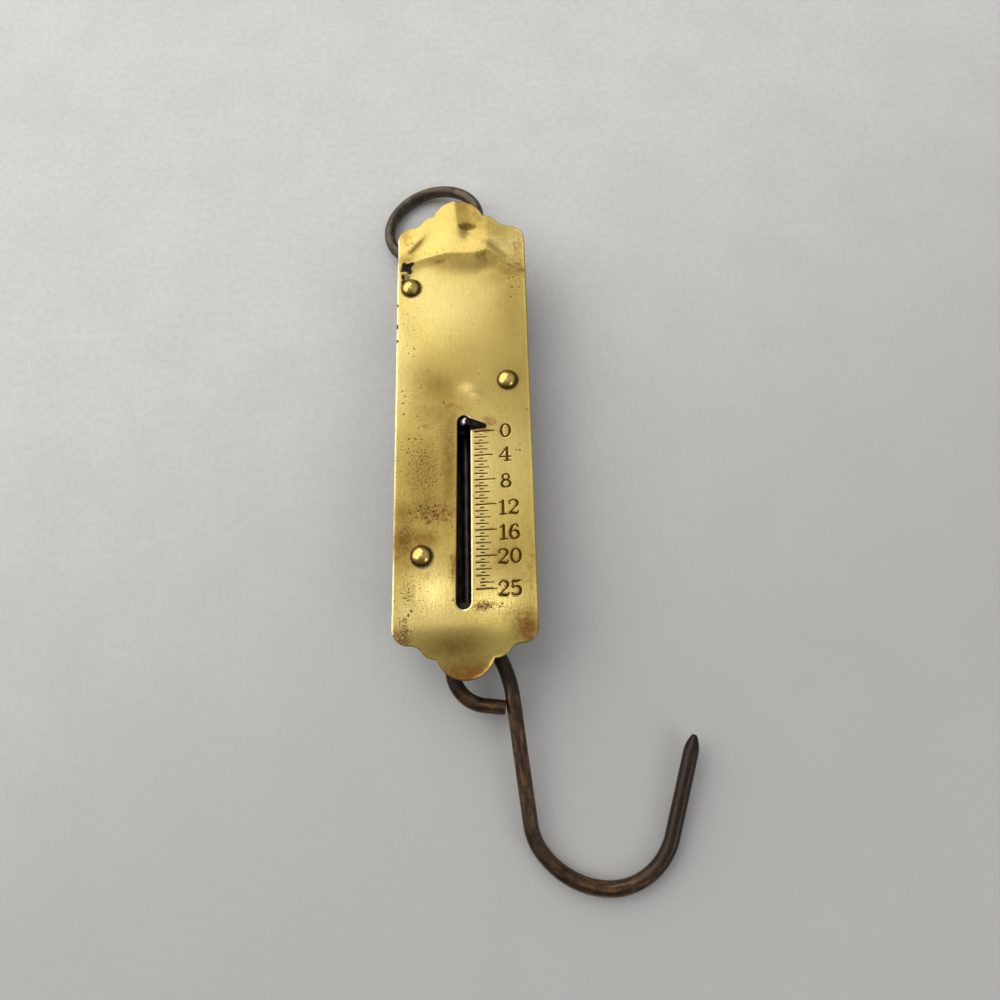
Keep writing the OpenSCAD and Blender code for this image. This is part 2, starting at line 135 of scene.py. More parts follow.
class Finish(Tree):
    """A material in layers of colour and relief. Lengths in its coordinates are in millimetres."""

    def __init__(self, name, colour, metallic=1.0, roughness=0.4):
        self.material = bpy.data.materials.new(name)
        super().__init__(self.material)
        self.nodes.clear()
        self.shader = self.nodes.new("ShaderNodeBsdfPrincipled")
        output = self.nodes.new("ShaderNodeOutputMaterial")
        self.links.new(self.shader.outputs["BSDF"], output.inputs["Surface"])
        self.shader.inputs["Metallic"].default_value = metallic
        self.shader.inputs["Roughness"].default_value = roughness
        self.colour = colour
        self.normal = None
        self.place = self.stretched(1, 1, 1)

    def stretched(self, *scale):
        """The point of the object in millimetres, stretched along its axes."""
        point = self.add("TexCoord", {}, "Object")
        factors = tuple(part / MM for part in scale)
        return self.add("VectorMath", {0: point, 1: factors}, operation="MULTIPLY")

    def attribute(self, name, output="Fac"):
        return self.add("Attribute", {}, output, attribute_name=name)

    def noise(self, scale, detail=3.0, roughness=0.55, at=None):
        place = self.place if at is None else at
        inputs = {"Vector": place, "Scale": scale, "Detail": detail, "Roughness": roughness}
        return self.add("TexNoise", inputs, "Fac")

    def dots(self, scale, amount):
        """Small round dots of several sizes, more of them where amount is high."""
        inputs = {"Vector": self.place, "Scale": scale, "Randomness": 1.0}
        distance = self.add("TexVoronoi", inputs, "Distance", voronoi_dimensions="2D")
        draw = self.add("TexVoronoi", inputs, "Color", voronoi_dimensions="2D")
        chance = self.add("SeparateColor", {"Color": draw}, "Red")
        size = self.add("SeparateColor", {"Color": draw}, "Green")
        chosen = self.step(self.plus(amount, chance, -1.0), -0.03, 0.02)
        reach = self.plus(0.06, size, 0.15)
        return self.times(chosen, self.step(self.plus(reach, distance, -1.0), 0.0, 0.06))

    def paint(self, mask, colour):
        """Another colour over what is there, as far as the mask says."""
        inputs = {0: mask, 6: self.colour, 7: colour}
        self.colour = self.add("Mix", inputs, 2, data_type="RGBA", blend_type="MIX")

    def bump(self, height, distance, strength):
        """More relief on top of what is there."""
        inputs = {"Height": height, "Distance": distance * MM, "Strength": strength}
        if self.normal is not None:
            inputs["Normal"] = self.normal
        self.normal = self.add("Bump", inputs)

    def finish(self, roughness, metallic=None):
        self.put(self.shader.inputs["Base Color"], self.colour)
        self.put(self.shader.inputs["Normal"], self.normal)
        self.put(self.shader.inputs["Roughness"], roughness)
        if metallic is not None:
            self.put(self.shader.inputs["Metallic"], metallic)
        return self.material


def face_brass():
    """Rolled brass with an upright grain, dark pits, brown stains, dirt and painted shadow round the rivets,
    and painted highlights and shade.
    """
    tree = Finish("face_brass", rgb(200, 176, 98))
    grain = tree.noise(0.9, 4.0, at=tree.stretched(9.0, 0.5, 1.0))
    mottle = tree.noise(0.9, 4.0, 0.6)
    fine = tree.noise(3.2, 5.0, 0.7)
    specks = tree.attribute("specks")
    polish = tree.attribute("polish")
    tree.paint(tree.step(tree.noise(0.11), 0.3, 0.7), rgb(208, 184, 104))
    # Painted highlights, where the bent plate catches the light
    tree.paint(tree.attribute("painted_highlight"), rgb(230, 208, 134))
    # A painted highlight along the worn rims of the slot and of the plate's left edge
    rim_highlight = tree.times(tree.attribute("rim_highlight"), tree.step(mottle, 0.36, 0.6, 0.35, 1.0))
    tree.paint(rim_highlight, rgb(250, 238, 190))
    tree.paint(tree.step(grain, 0.35, 0.75, 0, 0.3), rgb(168, 142, 66))
    tree.paint(tree.step(fine, 0.42, 0.7, 0, 0.32), rgb(150, 118, 50))
    # Painted shade, where the bent plate turns from the light
    painted_shade = tree.times(tree.attribute("painted_shade"), tree.step(mottle, 0.2, 0.7, 0.7, 1.0))
    tree.paint(painted_shade, rgb(130, 100, 42))

    stain = tree.plus(tree.plus(mottle, tree.attribute("stain"), 0.5), fine, 0.3)
    stain = tree.step(stain, 0.74, 1.2, 0, 0.85)
    tree.paint(stain, rgb(144, 88, 42))
    pits = tree.step(tree.plus(fine, specks, 0.36), 0.66, 0.8, 0, 0.75)
    pits = tree.most(tree.dots(1.1, specks), tree.dots(2.3, specks), pits)
    tree.paint(tree.times(pits, 0.9), rgb(78, 46, 14))
    nick = tree.step(tree.plus(tree.attribute("nick"), fine, 0.6), 0.62, 1.0, 0.0, 0.85)
    tree.paint(nick, rgb(84, 54, 22))
    # Soot by the crust, and dirt round the rivets with a painted shadow at their lower right
    soot_and_shadow = tree.step(tree.plus(tree.attribute("soot_and_shadow"), fine, 0.5), 0.5, 0.95)
    tree.paint(soot_and_shadow, rgb(52, 34, 20))

    dirt = tree.most(tree.times(stain, 0.6), tree.times(pits, 0.8), soot_and_shadow, tree.times(nick, 0.6))
    rough = tree.plus(tree.step(grain, 0.2, 0.8, 0.27, 0.35), polish, -0.13)
    tree.bump(grain, 0.016, tree.plus(0.6, polish, -0.45))
    tree.bump(tree.times(pits, -1.0), 0.03, 0.6)
    tree.bump(mottle, 0.02, 0.3)
    return tree.finish(tree.plus(rough, dirt, 0.3), tree.step(dirt, 0.0, 1.0, 1.0, 0.75))


def engraved_brown():
    """The dark filling of the stamped lines and numbers, worn thin in places."""
    tree = Finish("engraved_brown", rgb(74, 49, 10), 0.85, 0.5)
    wear = tree.noise(2.1, 4.0, 0.65)
    tree.paint(tree.step(wear, 0.35, 0.75), rgb(108, 77, 20))
    tree.bump(wear, 0.02, 0.4)
    return tree.finish(tree.step(wear, 0.3, 0.8, 0.75, 0.5))


def black_crust():
    """Black corrosion that has eaten into the plate's left edge."""
    tree = Finish("black_crust", rgb(16, 13, 11), 0.0, 0.9)
    lumps = tree.noise(3.0, 5.0, 0.7)
    tree.paint(tree.step(lumps, 0.4, 0.75), rgb(58, 42, 28))
    tree.bump(lumps, 0.12, 0.9)
    return tree.finish(tree.step(lumps, 0.3, 0.8, 0.95, 0.7))


def rivet_brass():
    """Polished brass heads, darker towards their foot, with small knocks."""
    tree = Finish("rivet_brass", rgb(226, 196, 116))
    cloud = tree.noise(0.8)
    fine = tree.noise(4.0, 4.0, 0.6)
    foot = tree.attribute("foot")
    tree.paint(tree.step(cloud, 0.3, 0.7), rgb(208, 172, 94))
    tree.paint(tree.times(foot, 0.92), rgb(92, 60, 28))
    tree.paint(tree.step(fine, 0.66, 0.74, 0, 0.5), rgb(110, 76, 38))
    tree.bump(cloud, 0.08, 0.35)
    tree.bump(fine, 0.01, 0.3)
    return tree.finish(tree.plus(tree.step(cloud, 0.2, 0.8, 0.14, 0.2), foot, 0.35))


def wire_steel(name, dark, light, warm, warm_amount, roughness):
    """Drawn steel wire with a brown skin, worn to bare metal along streaks."""
    tree = Finish(name, dark)
    streak = tree.noise(1.0, 4.0, 0.6, tree.attribute("wire", "Vector"))
    scale = tree.noise(0.5, 4.0, 0.6)
    fine = tree.noise(3.5, 4.0, 0.7)
    tree.paint(tree.step(scale, 0.3, 0.7), light)
    # Bare metal along streaks, which in the hook's bowl also stands for a painted highlight
    bare_and_highlight = tree.step(tree.plus(tree.times(streak, 0.7), fine, 0.35), 0.5, 0.68)
    bare_and_highlight = tree.times(bare_and_highlight, tree.attribute("wear"))
    tree.paint(tree.times(bare_and_highlight, warm_amount), warm)
    # Painted shade, where a wire's dark attribute says
    tree.paint(tree.times(tree.attribute("dark"), 0.75), rgb(34, 25, 20))
    tree.paint(tree.step(fine, 0.62, 0.72, 0, 0.55), rgb(30, 23, 18))
    rough = tree.step(scale, 0.2, 0.8, roughness - 0.08, roughness + 0.1)
    tree.bump(streak, 0.05, 0.35)
    tree.bump(fine, 0.06, 0.5)
    return tree.finish(tree.plus(rough, bare_and_highlight, -0.12), tree.step(bare_and_highlight, 0.0, 1.0, 0.55, 0.95))


def plain_steel(name, dark, light, rust, roughness, stretch=(1, 1, 1)):
    """Plain steel parts with a turned or rolled grain and some rust in patches."""
    tree = Finish(name, dark)
    grain = tree.noise(1.6, 4.0, at=tree.stretched(*stretch))
    cloud = tree.noise(0.35, 4.0, 0.6)
    fine = tree.noise(2.6, 5.0, 0.7)
    tree.paint(tree.step(cloud, 0.3, 0.7), light)
    rusty = tree.step(tree.plus(tree.times(cloud, 0.6), fine, 0.5), 0.58, 0.72)
    tree.paint(tree.times(rusty, 0.7), rust)
    rough = tree.step(grain, 0.2, 0.8, roughness - 0.06, roughness + 0.08)
    tree.bump(grain, 0.02, 0.4)
    tree.bump(fine, 0.03, 0.3)
    return tree.finish(tree.plus(rough, rusty, 0.25), tree.step(rusty, 0.0, 1.0, 0.95, 0.3))


def pointer_blue():
    """Blued steel, nearly black, with a painted highlight on the left side of the knob."""
    tree = Finish("pointer_blue", rgb(38, 31, 36))
    fine = tree.noise(4.0, 4.0, 0.7)
    tree.paint(tree.step(tree.noise(1.1), 0.3, 0.7), rgb(62, 50, 56))
    tree.paint(tree.step(fine, 0.5, 0.65, 0, 0.5), rgb(26, 20, 14))
    # A painted highlight on the knob's left side
    bare_and_highlight = tree.times(tree.attribute("bare_and_highlight"), tree.step(fine, 0.2, 0.5, 0.6, 1.0))
    tree.paint(bare_and_highlight, rgb(226, 210, 218))
    tree.bump(fine, 0.02, 0.5)
    return tree.finish(tree.plus(tree.step(fine, 0.3, 0.7, 0.24, 0.36), bare_and_highlight, 0.1))


def floor_felt():
    """The plain pale floor, with the faint mottling of felt and a painted falloff of the light towards the
    lower right.
    """
    tree = Finish("floor", rgb(228, 226, 223), 0.0, 0.95)
    tree.paint(tree.step(tree.noise(0.05, 4.0), 0.3, 0.7), rgb(234, 232, 229))
    # A painted falloff of the light: darker towards the lower right
    across, along = (tree.add("SeparateXYZ", {0: tree.place}, axis) for axis in "XY")
    away = tree.plus(tree.times(across, 0.5), along, -1.0)
    tree.paint(tree.step(away, -110.0, 120.0, 0.0, 0.75), rgb(186, 185, 182))
    fuzz = tree.noise(0.6, 5.0, 0.7)
    tree.paint(tree.step(fuzz, 0.3, 0.75, 0, 0.35), rgb(198, 197, 196))
    tree.bump(fuzz, 0.25, 0.35)
    return tree.finish(0.95)


# Pieces

def declare(piece, body, node):
    """The piece rides on a body and stands for a CAD node, which it hides."""
    if body:
        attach(piece, body)
    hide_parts(node)


def smoothed(mesh, angle):
    """Smooth shading, with sharp edges where faces meet at more than an angle in degrees."""
    mesh.shade_smooth()
    mesh.set_sharp_from_angle(angle=math.radians(angle))


def new_piece(name, vertices, faces, materials, body, node, smooth):
    """A mesh from points in millimetres."""
    mesh = bpy.data.meshes.new(name)
    mesh.from_pydata([tuple(float(c) * MM for c in v) for v in vertices], [], faces)
    mesh.validate()
    for material in materials:
        mesh.materials.append(material)
    smoothed(mesh, smooth)
    piece = placed(name, mesh)
    declare(piece, body, node)
    return piece


def store(piece, name, values):
    """Keeps one number or one vector for each vertex, which a material reads."""
    values = np.asarray(values, np.float32)
    kind, field = ("FLOAT", "value") if values.ndim == 1 else ("FLOAT_VECTOR", "vector")
    layer = piece.data.attributes.new(name, kind, "POINT")
    layer.data.foreach_set(field, values.ravel())


def rough_at(x, y, z):
    """Smooth noise between about -1 and 1."""
    return noise.noise(Vector((x, y, z)))


def smoothstep(low, high, value):
    part = np.clip((value - low) / (high - low), 0, 1)
    return part * part * (3 - 2 * part)


def ramp(low, high, value):
    """Flat up to low, then rising smoothly to a slope of 1 from high on."""
    part = np.clip((value - low) / (high - low), 0, 1)
    return (high - low) * (part ** 3 - part ** 4 / 2) + np.clip(value - high, 0, None)


# Face plate: outline

FACE_W = 32.0
SHOULDER_Y = 52.6
FACE_BACK_Z = 13.2
FACE_Z = 14.0
CORNER_R = 3.6
OGEE_R = 3.4
OGEE_H = 3.0
TAB_R = 6.65
TAB_TIP_Y = 60.15
NOTCH_STEP = 0.3
SLOT_TOP_R = 1.55
SLOT_END_R = 1.7
SLOT_LEAN = 0.25
SLOT_TOP_Y = 0.5
SLOT_END_Y = -45.1
RIVETS = [(-12.7, 35.4), (10.6, 9.4), (-9.7, -32.8)]
RIVET_HOLE_R = 1.25
EDGE_STEP = 0.45
GRID_STEP = 0.5


def arc(centre, radius, start, end, count):
    """Points of an arc, with its angles in degrees."""
    turns = np.radians(np.linspace(start, end, count + 1))
    return np.column_stack([centre[0] + radius * np.cos(turns), centre[1] + radius * np.sin(turns)])


def face_outline():
    turn = math.degrees(math.acos(1 - OGEE_H / (2 * OGEE_R)))
    tab_y = TAB_TIP_Y - TAB_R
    notch_y = SHOULDER_Y + OGEE_H
    notch_turn = math.degrees(math.asin((notch_y - tab_y) / TAB_R))
    inner_x = TAB_R * math.cos(math.radians(notch_turn)) + NOTCH_STEP
    outer_x = inner_x + 2 * OGEE_R * math.sin(math.radians(turn))
    corner = (FACE_W / 2 - CORNER_R, SHOULDER_Y - CORNER_R)
    quarter = np.vstack([
        arc(corner, CORNER_R, 0, 90, 12),
        arc((outer_x, SHOULDER_Y + OGEE_R), OGEE_R, 270, 270 - turn, 10),
        arc((inner_x, notch_y - OGEE_R), OGEE_R, 90 - turn, 90, 10),
        arc((0, tab_y), TAB_R, notch_turn, 90, 16),
    ])
    upper = np.vstack([quarter, quarter[-2::-1] * (-1, 1)])
    return np.vstack([upper, upper[::-1] * (1, -1)])


def resampled(line, step, closed=True):
    """A line with points at most one step apart in x and y, its own corners kept."""
    line = np.array(line, float)
    points = []
    for start, end in zip(line, np.roll(line, -1, axis=0) if closed else line[1:]):
        gap = np.linalg.norm((end - start)[:2])
        if gap < 1e-6:
            continue
        count = max(1, math.ceil(gap / step))
        points += [start + (end - start) * k / count for k in range(count)]
    return np.array(points if closed else [*points, line[-1]])


def inset(loop, distance):
    """The loop moved to its left side, which is inwards when it runs anticlockwise."""
    before = loop - np.roll(loop, 1, axis=0)
    after = np.roll(loop, -1, axis=0) - loop
    before /= np.linalg.norm(before, axis=1)[:, None]
    after /= np.linalg.norm(after, axis=1)[:, None]
    way = before + after
    way /= np.linalg.norm(way, axis=1)[:, None]
    left = np.column_stack([-way[:, 1], way[:, 0]])
    return loop + left * distance


def slot_loop():
    """The slot's edge, run clockwise so that the plate lies on its left."""
    top = arc((SLOT_LEAN, SLOT_TOP_Y - SLOT_TOP_R), SLOT_TOP_R, 180, 0, 14)
    end = arc((-SLOT_LEAN, SLOT_END_Y + SLOT_END_R), SLOT_END_R, 0, -180, 14)
    return resampled(np.vstack([top, end]), EDGE_STEP)


def rivet_loop(place):
    return arc(place, RIVET_HOLE_R, 360, 0, 24)[:-1]


def inside(loop, points):
    """Which of the points lie inside a closed loop."""
    result = np.zeros(len(points), bool)
    x, y = points[:, 0], points[:, 1]
    for (x1, y1), (x2, y2) in zip(loop, np.roll(loop, -1, axis=0)):
        if y1 == y2:
            continue
        crosses = (y1 > y) != (y2 > y)
        result ^= crosses & (x < x1 + (y - y1) * (x2 - x1) / (y2 - y1))
    return result


def on_sheet(borders, points):
    """Which of the points lie inside the first border and outside all others."""
    result = inside(borders[0], points)
    for hole in borders[1:]:
        result &= ~inside(hole, points)
    return result


def clear_of(loops, points, margin):
    """The points that lie further than a margin from every loop."""
    for loop in loops:
        points = points[loop_distance(loop, points) > margin]
    return points


def segment_distance(points, start, end):
    """Each point's distance from a segment, and how far along the segment it lies."""
    way = end - start
    length = max(way @ way, 1e-12)
    part = np.clip(((points - start) @ way) / length, 0, 1)
    return np.linalg.norm(points - start - part[:, None] * way, axis=1), part


def loop_distance(loop, points):
    nearest = np.full(len(points), 1e9)
    for start, end in zip(loop, np.roll(loop, -1, axis=0)):
        nearest = np.minimum(nearest, segment_distance(points, start, end)[0])
    return nearest


# Face plate: scale and numbers. A stroke is a list of (x, y, half width)

TICK_SLOPE = math.tan(math.radians(1.6))
ZERO_Y = -3.64
POUND = 1.485
STROKE_STEP = 0.35
GROOVE_DEPTH = 0.09
# A line of the scale, as its start, end and half width. Three lines have ends of their own
TICK_X = 2.55
NUMBERED_TICK = (TICK_X, 7.3, 0.18)
EVEN_TICK = (TICK_X, 5.9, 0.16)
ODD_TICK = (TICK_X, 5.5, 0.16)
OWN_TICKS = {4: (TICK_X, 6.75, 0.18), 24: (3.42, 6.55, 0.16), 25: (2.50, 7.10, 0.18)}
HALF_TICK = (3.68, 4.58, 0.15)
FAINT_TICK = (3.68, 4.4, 0.08)


def tick(y, start_x, end_x, half):
    """One stamped line, which rises a little to the right, with soft ends."""
    rise = (end_x - start_x) * TICK_SLOPE
    return [(start_x, y, half * 0.7), (start_x + 0.3, y + rise * 0.1, half), (end_x, y + rise, half * 0.75)]


def scale_strokes():
    """A line for each pound from 0 to 25 and a short one between each two, the first of them faint."""
    strokes = []
    for pound in range(26):
        y = ZERO_Y - POUND * pound
        usual = ODD_TICK if pound % 2 else EVEN_TICK if pound % 4 else NUMBERED_TICK
        strokes.append(tick(y, *OWN_TICKS.get(pound, usual)))
        if pound not in (0, 25):
            strokes.append(tick(y - POUND / 2, *HALF_TICK))
    return [*strokes, tick(ZERO_Y - POUND / 2, *FAINT_TICK)]


SPAN_STEPS = 5


def curve(points):
    """A smooth curve through points (x, y, half width)."""
    points = [np.array(p, float) for p in points]
    padded = [2 * points[0] - points[1]] + points + [2 * points[-1] - points[-2]]
    result = []
    for before, start, end, after in zip(padded, padded[1:], padded[2:], padded[3:]):
        for k in range(SPAN_STEPS):
            t = k / SPAN_STEPS
            result.append(0.5 * (
                2 * start + (end - before) * t
                + (2 * before - 5 * start + 4 * end - after) * t * t
                + (3 * start - before - 3 * end + after) * t ** 3
            ))
    return result + [points[-1]]


THIN = 0.052
WIDE = 0.091


def oval(x, y, half_w, half_h, thin=THIN, wide=WIDE):
    points = []
    for turn in np.radians(np.linspace(0, 360, 29)):
        half = thin + (wide - thin) * abs(math.cos(turn)) ** 1.5
        points.append((x + half_w * math.cos(turn), y + half_h * math.sin(turn), half))
    return points


# Each digit stands in a box one unit high. Its strokes come with its width
DIGITS = {
    "0": (0.74, [oval(0.37, 0.5, 0.30, 0.46)]),
    "1": (0.50, [
        [(0.27, 0.97, WIDE), (0.27, 0.03, WIDE)],
        [(0.27, 0.95, THIN), (0.16, 0.86, THIN), (0.03, 0.82, THIN * 0.8)],
        [(0.04, 0.03, THIN), (0.50, 0.03, THIN)],
    ]),
    "2": (0.72, [
        curve([
            (0.13, 0.74, 0.06), (0.10, 0.80, 0.05), (0.20, 0.93, THIN), (0.40, 0.97, THIN),
            (0.60, 0.86, WIDE), (0.62, 0.68, WIDE), (0.48, 0.46, 0.05), (0.22, 0.22, THIN),
            (0.07, 0.05, THIN),
        ]),
        curve([
            (0.07, 0.05, THIN), (0.28, 0.09, WIDE), (0.50, 0.04, WIDE), (0.66, 0.09, THIN),
            (0.68, 0.22, THIN * 0.8),
        ]),
    ]),
    "4": (0.80, [
        [(0.54, 0.98, THIN), (0.04, 0.34, THIN)],
        [(0.03, 0.31, THIN), (0.80, 0.31, THIN)],
        [(0.54, 0.97, WIDE), (0.54, 0.03, WIDE)],
        [(0.34, 0.03, THIN), (0.76, 0.03, THIN)],
    ]),
    "5": (0.70, [
        curve([(0.16, 0.95, WIDE), (0.36, 0.92, WIDE), (0.60, 0.97, THIN)]),
        [(0.15, 0.95, THIN), (0.12, 0.50, THIN)],
        curve([
            (0.12, 0.50, THIN), (0.32, 0.60, THIN), (0.56, 0.52, WIDE), (0.63, 0.32, WIDE),
            (0.53, 0.10, WIDE), (0.32, 0.03, THIN), (0.12, 0.10, THIN), (0.09, 0.19, 0.06),
        ]),
    ]),
    "6": (0.72, [
        curve([
            (0.62, 0.82, 0.06), (0.56, 0.94, THIN), (0.38, 0.97, THIN), (0.20, 0.82, WIDE),
            (0.10, 0.55, WIDE), (0.10, 0.32, WIDE), (0.20, 0.10, WIDE), (0.38, 0.03, THIN),
            (0.58, 0.12, WIDE), (0.64, 0.31, WIDE), (0.56, 0.51, WIDE), (0.38, 0.58, THIN),
            (0.20, 0.50, THIN), (0.11, 0.36, THIN),
        ]),
    ]),
    "8": (0.72, [
        oval(0.36, 0.75, 0.22, 0.21, THIN, 0.068),
        oval(0.36, 0.28, 0.29, 0.25),
    ]),
}
NUMBERS = [
    ("0", 9.91, -3.60), ("4", 9.67, -9.44), ("8", 9.71, -15.87), ("12", 10.22, -22.18),
    ("16", 10.24, -27.98), ("20", 10.08, -33.45), ("25", 9.95, -40.67),
]
NUMBER_H = 3.4
DIGIT_GAP = 0.1


def number_strokes():
    strokes = []
    for text, centre_x, centre_y in NUMBERS:
        total = sum(DIGITS[digit][0] for digit in text) + DIGIT_GAP * (len(text) - 1)
        left = -total / 2
        for digit in text:
            width, lines = DIGITS[digit]
            for line in lines:
                stroke = []
                for x, y, half in line:
                    across = (left + x) * NUMBER_H
                    up = (y - 0.5) * NUMBER_H + across * TICK_SLOPE
                    stroke.append((centre_x + across, centre_y + up, half * NUMBER_H))
                strokes.append(stroke)
            left += width + DIGIT_GAP
    return strokes


def stroke_outline(points):
    """The closed outline of a stroke, with a rounded cap at each end."""
    line = points[:, :2]
    way = np.gradient(line, axis=0)
    way /= np.linalg.norm(way, axis=1)[:, None]
    side = np.column_stack([-way[:, 1], way[:, 0]]) * points[:, 2:3]
    first_cap = line[0] - way[0] * points[0, 2]
    last_cap = line[-1] + way[-1] * points[-1, 2]
    return np.vstack([line + side, last_cap, (line - side)[::-1], first_cap])


def groove(points, strokes):
    """How deep the stamped strokes are at each point, from 0 to 1."""
    depth = np.zeros(len(points))
    for stroke in strokes:
        reach = stroke[:, 2].max() + 0.05
        low, high = stroke[:, :2].min(0) - reach, stroke[:, :2].max(0) + reach
        near = np.where(((points > low) & (points < high)).all(axis=1))[0]
        if not len(near):
            continue
        for start, end in zip(stroke, stroke[1:]):
            distance, part = segment_distance(points[near], start[:2], end[:2])
            half = start[2] + (end[2] - start[2]) * part
            depth[near] = np.maximum(depth[near], np.clip((half - distance) / half, 0, 1))
    return depth


# Face plate: bends and dents, as the height of its front over the flat plate

CREST = [
    (-16, 41.6), (-12, 42.4), (-9.6, 43.2), (-7.4, 43.9), (-3.8, 44.5), (0.2, 44.1), (3.7, 44.0),
    (6.5, 45.0), (9.0, 43.3), (11.7, 41.0), (14.2, 39.7), (16, 39.0),
]
# How far below the crest the plate begins to rise to it
BAND = [(-16, 1.5), (-8.6, 3.3), (-2.9, 6.6), (3.4, 6.4), (7.7, 4.8), (11.7, 3.2), (16, 1.8)]
BAND_RISE = 0.12
# How far the upper end is bent to the left and up, and how much more its left side rises
END_LEFT = 0.8
END_UP = 0.3
END_TURN = 0.022
RIDGE = [(44.9, 6.6), (46.5, 5.6), (48.3, 3.5), (50.5, 1.0), (52.5, -1.0), (55, -1.4), (60, -1.7)]


def bent(points):
    """The upper end is bent a little to the left and upwards, more so at its left."""
    amount = smoothstep(46, 58, points[:, 1])
    moved = points.copy()
    moved[:, 0] -= END_LEFT * amount
    moved[:, 1] += (END_UP - END_TURN * points[:, 0]) * amount
    return moved


def crease_lines():
    """The crest and the ridge, which the triangles follow."""
    crest_x = np.arange(-15.3, 15.4, 0.45)
    crest = np.column_stack([crest_x, np.interp(crest_x, *zip(*CREST))])
    ridge_y = np.arange(45.6, 59.4, 0.45)
    ridge = np.column_stack([np.interp(ridge_y, *zip(*RIDGE)), ridge_y])
    return [crest, ridge]


def dent(points, x, y, across, along, height, turn=0):
    """A soft rise or hollow, turned by so many degrees."""
    c, s = math.cos(math.radians(turn)), math.sin(math.radians(turn))
    right, up = points[:, 0] - x, points[:, 1] - y
    return height * np.exp(-(((right * c + up * s) / across) ** 2) - ((up * c - right * s) / along) ** 2)


# Soft dents, as (x, y, reach across, reach along, height, turn)
DENTS = [
    (-11.1, 47.0, 4.2, 0.85, -0.28, 50), (8.4, 46.4, 3.0, 0.9, -0.14, -38), (-5.0, 18.0, 10, 9, 0.24),
    (-4.8, 8.9, 7.5, 3.4, -0.32, -34), (1.9, 6.8, 2.4, 1.4, 0.2, -25),
] + [(*place, 3.4, 3.4, -0.07) for place in RIVETS]
# The hollow in the tab, with its reach to the left and right, then below and above
HOLLOW = (1.9, 51.3)
HOLLOW_DEPTH = 0.5
HOLLOW_X = (1.9, 2.8)
HOLLOW_Y = (3.2, 1.7)
# Slopes: behind the crest, left of the ridge, right of it, and what it gains towards the tip
CREST_FALL = 0.06
LEFT_FALL = 0.02
RIGHT_FALL = 0.015
RIGHT_GAIN = 0.06
RIDGE_REACH = 3.5
# The lower end's slopes: up before the bend, down at the bend and back at the tip
LOW_RISE = 0.036
LOW_BEND = 0.16
LOW_RETURN = 0.07
# Faint waves in the upper end and the left side: their height, and their size across and along
WAVE = 0.035
WAVE_W = 11
WAVE_L = 15


def face_height(points):
    x, y = points[:, 0], points[:, 1]
    over = y - np.interp(x, *zip(*CREST))
    band = np.interp(x, *zip(*BAND))
    height = BAND_RISE * band * np.clip((over + band) / band, 0, 1) ** 2
    height -= CREST_FALL * np.clip(over, 0, None)

    away = x - np.interp(y, *zip(*RIDGE))
    slope = RIGHT_FALL + RIGHT_GAIN * smoothstep(46, 57, y)
    roof = np.where(away < 0, LEFT_FALL * away, -slope * np.clip(away, 0, RIDGE_REACH))
    height += roof * smoothstep(0, 3.0, over)

    across = (x - HOLLOW[0]) / np.where(x < HOLLOW[0], *HOLLOW_X)
    along = (y - HOLLOW[1]) / np.where(y <= HOLLOW[1], *HOLLOW_Y)
    height -= HOLLOW_DEPTH * np.exp(-(across ** 2) - along ** 2)
    for spot in DENTS:
        height += dent(points, *spot)

    # The lower end rises a little, then bends down over the tab
    height += LOW_RISE * ramp(34, 44, 0.3 * np.clip(x, 0, 8) - y)
    bend = LOW_BEND * ramp(47.6, 51.4, -y - 0.15 * np.clip(x - 2, 0, 8))
    bend -= LOW_RETURN * ramp(54, 57, -y)
    height -= bend * (1 - 0.35 * smoothstep(3, 8, x))

    waves = [WAVE * rough_at(a / WAVE_W, b / WAVE_L, 3.7) for a, b in points]
    wavy = smoothstep(16, 26, y) + smoothstep(-2, -8, x)
    return height + np.array(waves) * np.clip(wavy, 0, 1)


# Face plate: where the brass is pitted, stained, polished or black, and where shade and highlights are
# painted on it, with soft spots as (x, y, reach across, reach along, amount, turn)

SPECK_SPOTS = [
    (-9, -12, 6, 10, 0.55), (-8.5, -22, 6, 4.5, 0.62, 10), (-6, -24, 4, 3, 0.55, 20), (-13, -28, 3, 6, 0.6),
    (-13.4, -50.5, 2.4, 4.5, 0.8), (-12.5, -41, 2.5, 4, 0.55), (4.2, -44.5, 2.6, 1.4, 0.7, 8),
    (13.6, -50, 2.5, 3.5, 0.5), (12.5, 40.5, 2, 3, 0.35), (-13, 22, 2, 5, 0.4), (-12, 6, 4, 6, 0.35),
    (-2.2, -3.5, 4, 3, 0.3), (-13.5, 38.5, 1.2, 3, 0.9), (10, -46, 4, 2, 0.3), (2, 2.6, 5, 2, 0.25),
]
STAIN_SPOTS = [
    (6.2, -1.2, 2.4, 1.8, 0.85, -25), (5.0, -3.5, 3, 0.5, 1.0, 2), (-2.6, 3.0, 3, 1.5, 0.55, -20),
    (-6, -23.5, 5, 3, 0.7, 15), (-8.3, -2.2, 1.8, 1.2, 0.5), (3.4, -6.4, 0.8, 2, 0.7),
    (3.5, -16.5, 1, 1.2, 0.6), (-2.6, -35.5, 0.9, 3.5, 0.8), (-8.8, -37.4, 2.0, 1.2, 0.45, 30),
    (-13.8, -51, 2.6, 3.6, 0.65), (13.4, -49.6, 3, 3.6, 0.8), (0, -61, 8, 4.0, 1.1), (0, 59.6, 4, 1.5, 0.4),
    (-13.8, 48.5, 2, 3.5, 0.45), (14.0, 46.5, 2, 5, 0.45), (14.5, 39.5, 1.5, 3.5, 0.6), (9, 6.2, 3, 2, 0.3),
    (-9.7, -29.5, 3, 1.5, 0.5), (10, -34, 4, 3, 0.25), (14.5, -36, 1.5, 8, 0.35),
    (4.0, -44.4, 2.8, 1.2, 0.75, 8),
]
